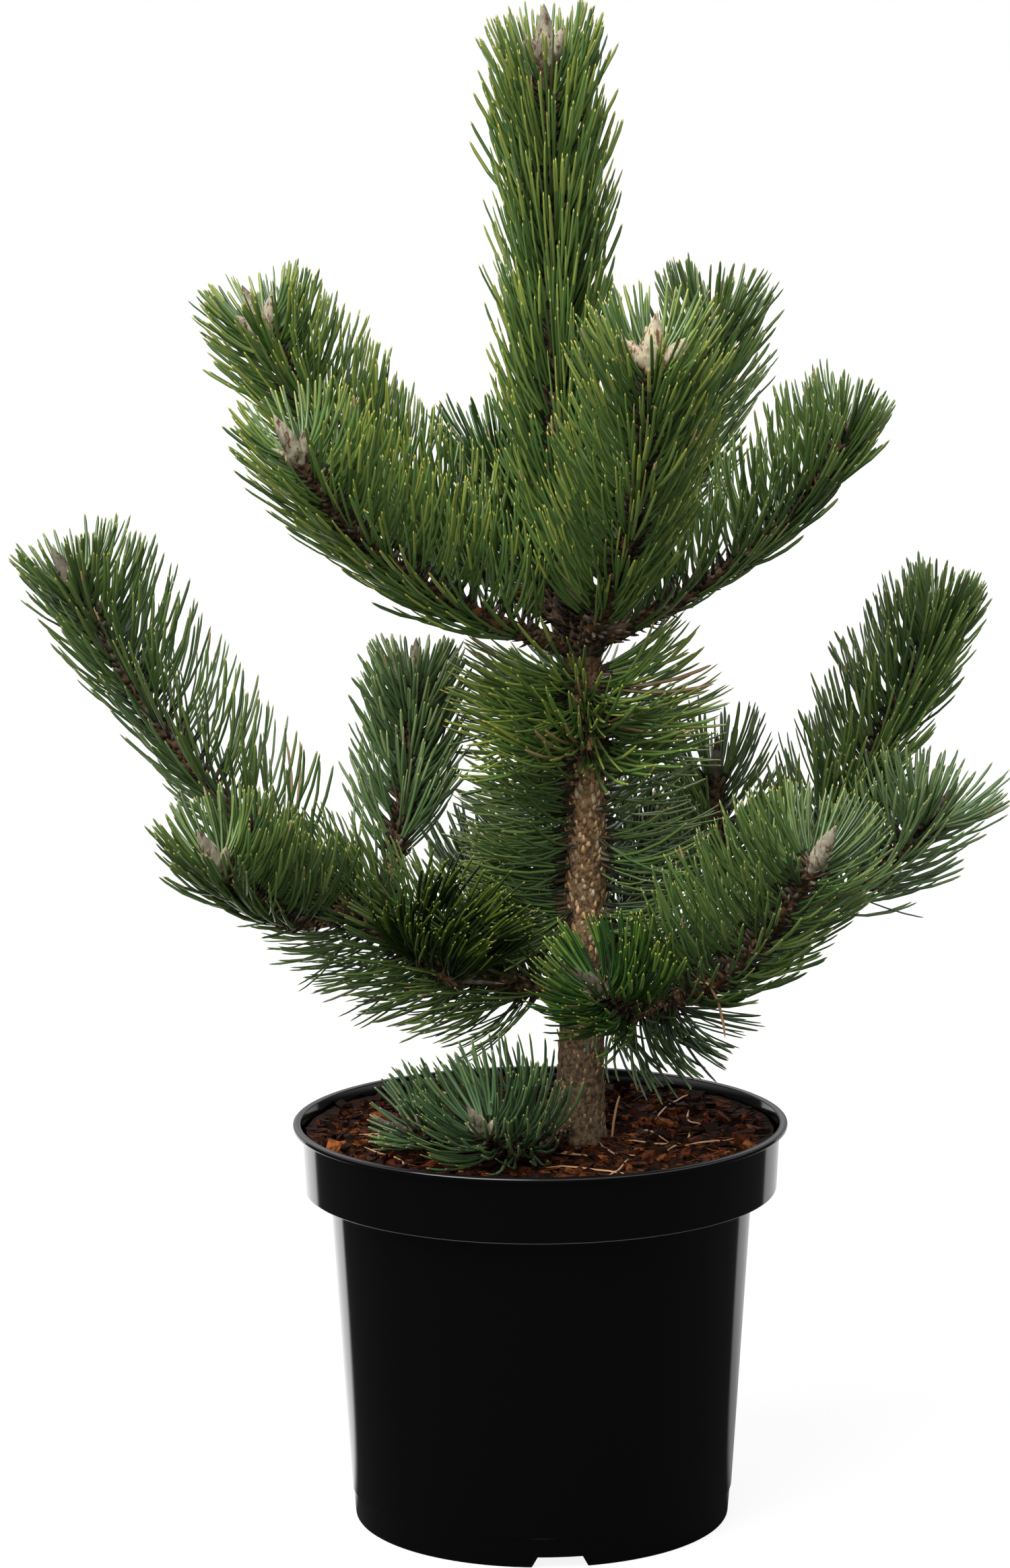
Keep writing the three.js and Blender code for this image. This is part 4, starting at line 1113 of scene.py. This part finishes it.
def makeNeedles(limb, nodeName, fromShare, toShare, rule, seed):
    paths, across, owner, sheaths, sheathAcross, rng = spiralNeedles(limb, fromShare, toShare, rule, seed)
    count = len(paths)
    width = rng.uniform(0.88, 1.1, (count, 1)) * np.array(leaf["halfWidth"]) * rule["width"]
    points, quads, ends = sweptArrays(paths, across, width, width * leaf["flat"], leaf["sides"])
    # each sheath gets one green; the root is darker as painted shade, the outer part often paler as painted
    # light, the point yellow
    shadedRoot, pale, tip, dead, dry = range(4, 9)
    tone = rng.choice(4, owner.max() + 1, p=leaf["greenShares"])[owner]
    isDead = rng.uniform(size=owner.max() + 1)[owner] < rule.get("dead", leaf["dead"])
    isDry = rng.uniform(size=count) < leaf["dryPoint"]
    segments = len(leaf["stations"]) - 1
    bySegment = np.repeat(tone[:, None], segments, 1)
    bySegment[:, 0] = shadedRoot
    bySegment[rng.uniform(size=count) < leaf["pale"], -3:-1] = pale
    bySegment[:, -1] = np.where(isDry, dry, tip)
    bySegment[isDry, -2] = dry
    bySegment[isDead] = dead
    slots = [np.repeat(bySegment.ravel(), leaf["sides"]), bySegment[:, [0, -1]].ravel()]
    materials = leafMaterials[rule.get("tones", rule["shade"])]
    piece = meshPiece(f"{nodeName}_leaves", points, [quads, ends], materials, slots)
    dress(piece, f"needles_{rule['shade']}", f"{nodeName}_needles")
    half = np.repeat([sheath["halfWidth"]], len(sheaths), 0)
    return sweptArrays(sheaths, sheathAcross, half, half, sheath["sides"]), count


def makeAllNeedles():
    jobs = []
    for i, limb in enumerate(boughs):
        rule = {**needleRule, "needle": limb.needle, "shade": limb.shade, "every": limb.every}
        rule.update(shootChanges.get(limb.name, {}))
        start = rule.get("from", limb.bare + 0.01)
        jobs.append((limb, limb.name, start, limb.neck(), rule, leaf["seed"] + i))
    for i, (name, (on, low, high, changes)) in enumerate(sleeveTable.items()):
        rule = {**needleRule, **sleeveRule, **changes}
        jobs.append((limbs[on], name, low, high, rule, leaf["sleeveSeed"] + i))
    sheaths, counts = zip(*[makeNeedles(*job) for job in jobs])
    dealtPiece("needleSheaths", sheaths, sheathMaterials, (0.2, 0.35, 0.45), 7)
    print("needles", sum(counts))


# start, the point that pulls the needle its way, end, half width; tan ones first, then green ones
looseNeedles = [
    ((78, -62, 316), (96, -92, 340), (100.5, -90, 295), 0.8),
    ((40.4, -1, 213), (41, -1, 230), (45, -3, 243), 0.7),
    ((178, 28, 352), (200, 20, 343), (218, 20, 340), 0.55),
    ((181, 28, 356), (203, 22, 356), (219, 20, 363), 0.8),
]


def makeLooseNeedles():
    # single needles that hang out of the boughs, and one that stands in the substrate
    t = np.array(leaf["stations"])[:, None]
    start, pull, end = (np.array([row[i] for row in looseNeedles], float)[:, None] for i in range(3))
    paths = start * (1 - t) ** 2 + pull * 2 * t * (1 - t) + end * t ** 2
    half = np.array([[row[3]] for row in looseNeedles]) * np.array(leaf["halfWidth"])
    rods = sweptArrays(paths, np.array([[1.0, 0.2, 0.1]] * len(paths)), half, half * 0.7, 4)
    rodPiece("looseNeedles", [rods], [tanMaterial, leafMaterials["cool"][0]], [0, 0, 1, 1])


def budArrays(base, way, side, length, radius, rings, sides):
    # a pointed bud whose skin steps in overlapping scales
    t = np.linspace(0, 1, rings)
    profile = np.interp(t, *zip(*bud["profile"])) * radius
    turn = np.arange(sides) * 2 * math.pi / sides
    step = (t[:, None] * 9 + turn[None] * 3 / (2 * math.pi)) % 1
    swell = profile[:, None] * (1.06 - 0.16 * step)
    other = np.cross(side, way)
    ring = side * (np.cos(turn)[None] * swell)[..., None] + other * (np.sin(turn)[None] * swell)[..., None]
    points = (base + way * (t * length)[:, None])[:, None] + ring
    return points.reshape(-1, 3), *tubeFaces(rings, sides)


def makeBuds():
    # one end bud on each shoot and three that spread round its foot, two of them left and right
    bigs, smalls, bigSkins, smallSkins = [], [], [], []
    rings, sides = bud["sideRings"], bud["sideSides"]
    rng = np.random.default_rng(bud["seed"])
    for name, limb in limbs.items():
        scale, skinKind, sideScale, spread = budTable.get(name, plainBud)
        point, way, side, other = (row[0] for row in limb.at(limb.neck()))
        run = limb.at(1.0)[0][0] - point
        straight, length = unit(run), np.linalg.norm(run) + bud["sunk"]
        base, radius = point - straight * bud["sunk"], bud["radius"] * scale
        bigs.append(budArrays(base, straight, side, length, radius, bud["rings"], bud["sides"]))
        bigSkins.append(skinKind)
        start = math.atan2(other[0], side[0])
        back = 1 if other[1] * math.cos(start) - side[1] * math.sin(start) > 0 else -1
        for turn in (0, math.pi, back * math.pi / 2):
            roll = start + turn + rng.uniform(-0.25, 0.25)
            radial = side * math.cos(roll) + other * math.sin(roll)
            lean = unit(straight + radial * spread * rng.uniform(0.8, 1.1))
            root = point - straight * bud["drop"] + radial * 2.5
            size = rng.uniform(0.8, 1.05) * scale * sideScale
            across = unit(np.cross(lean, radial))
            length, radius = bud["sideLength"] * size, bud["sideRadius"] * size
            smalls.append(budArrays(root, lean, across, length, radius, rings, sides))
            smallSkins.append(skinKind)
    rodPiece("endBuds", bigs, budMaterials, bigSkins)
    rodPiece("sideBuds", smalls, budMaterials, smallSkins)


deselect()
setCamera()
setStudio()
setWorld()
makeFloor()
print("camera, floor and light ready")

makePot()
deselect()
makeSoil()
makeChips()
makeFibres()
print("pot and soil ready")

makeWood()
makeScars()
makeScales()
makeShoots()
makeBuds()
print("wood, shoots and buds ready")

makeAllNeedles()
makeLooseNeedles()
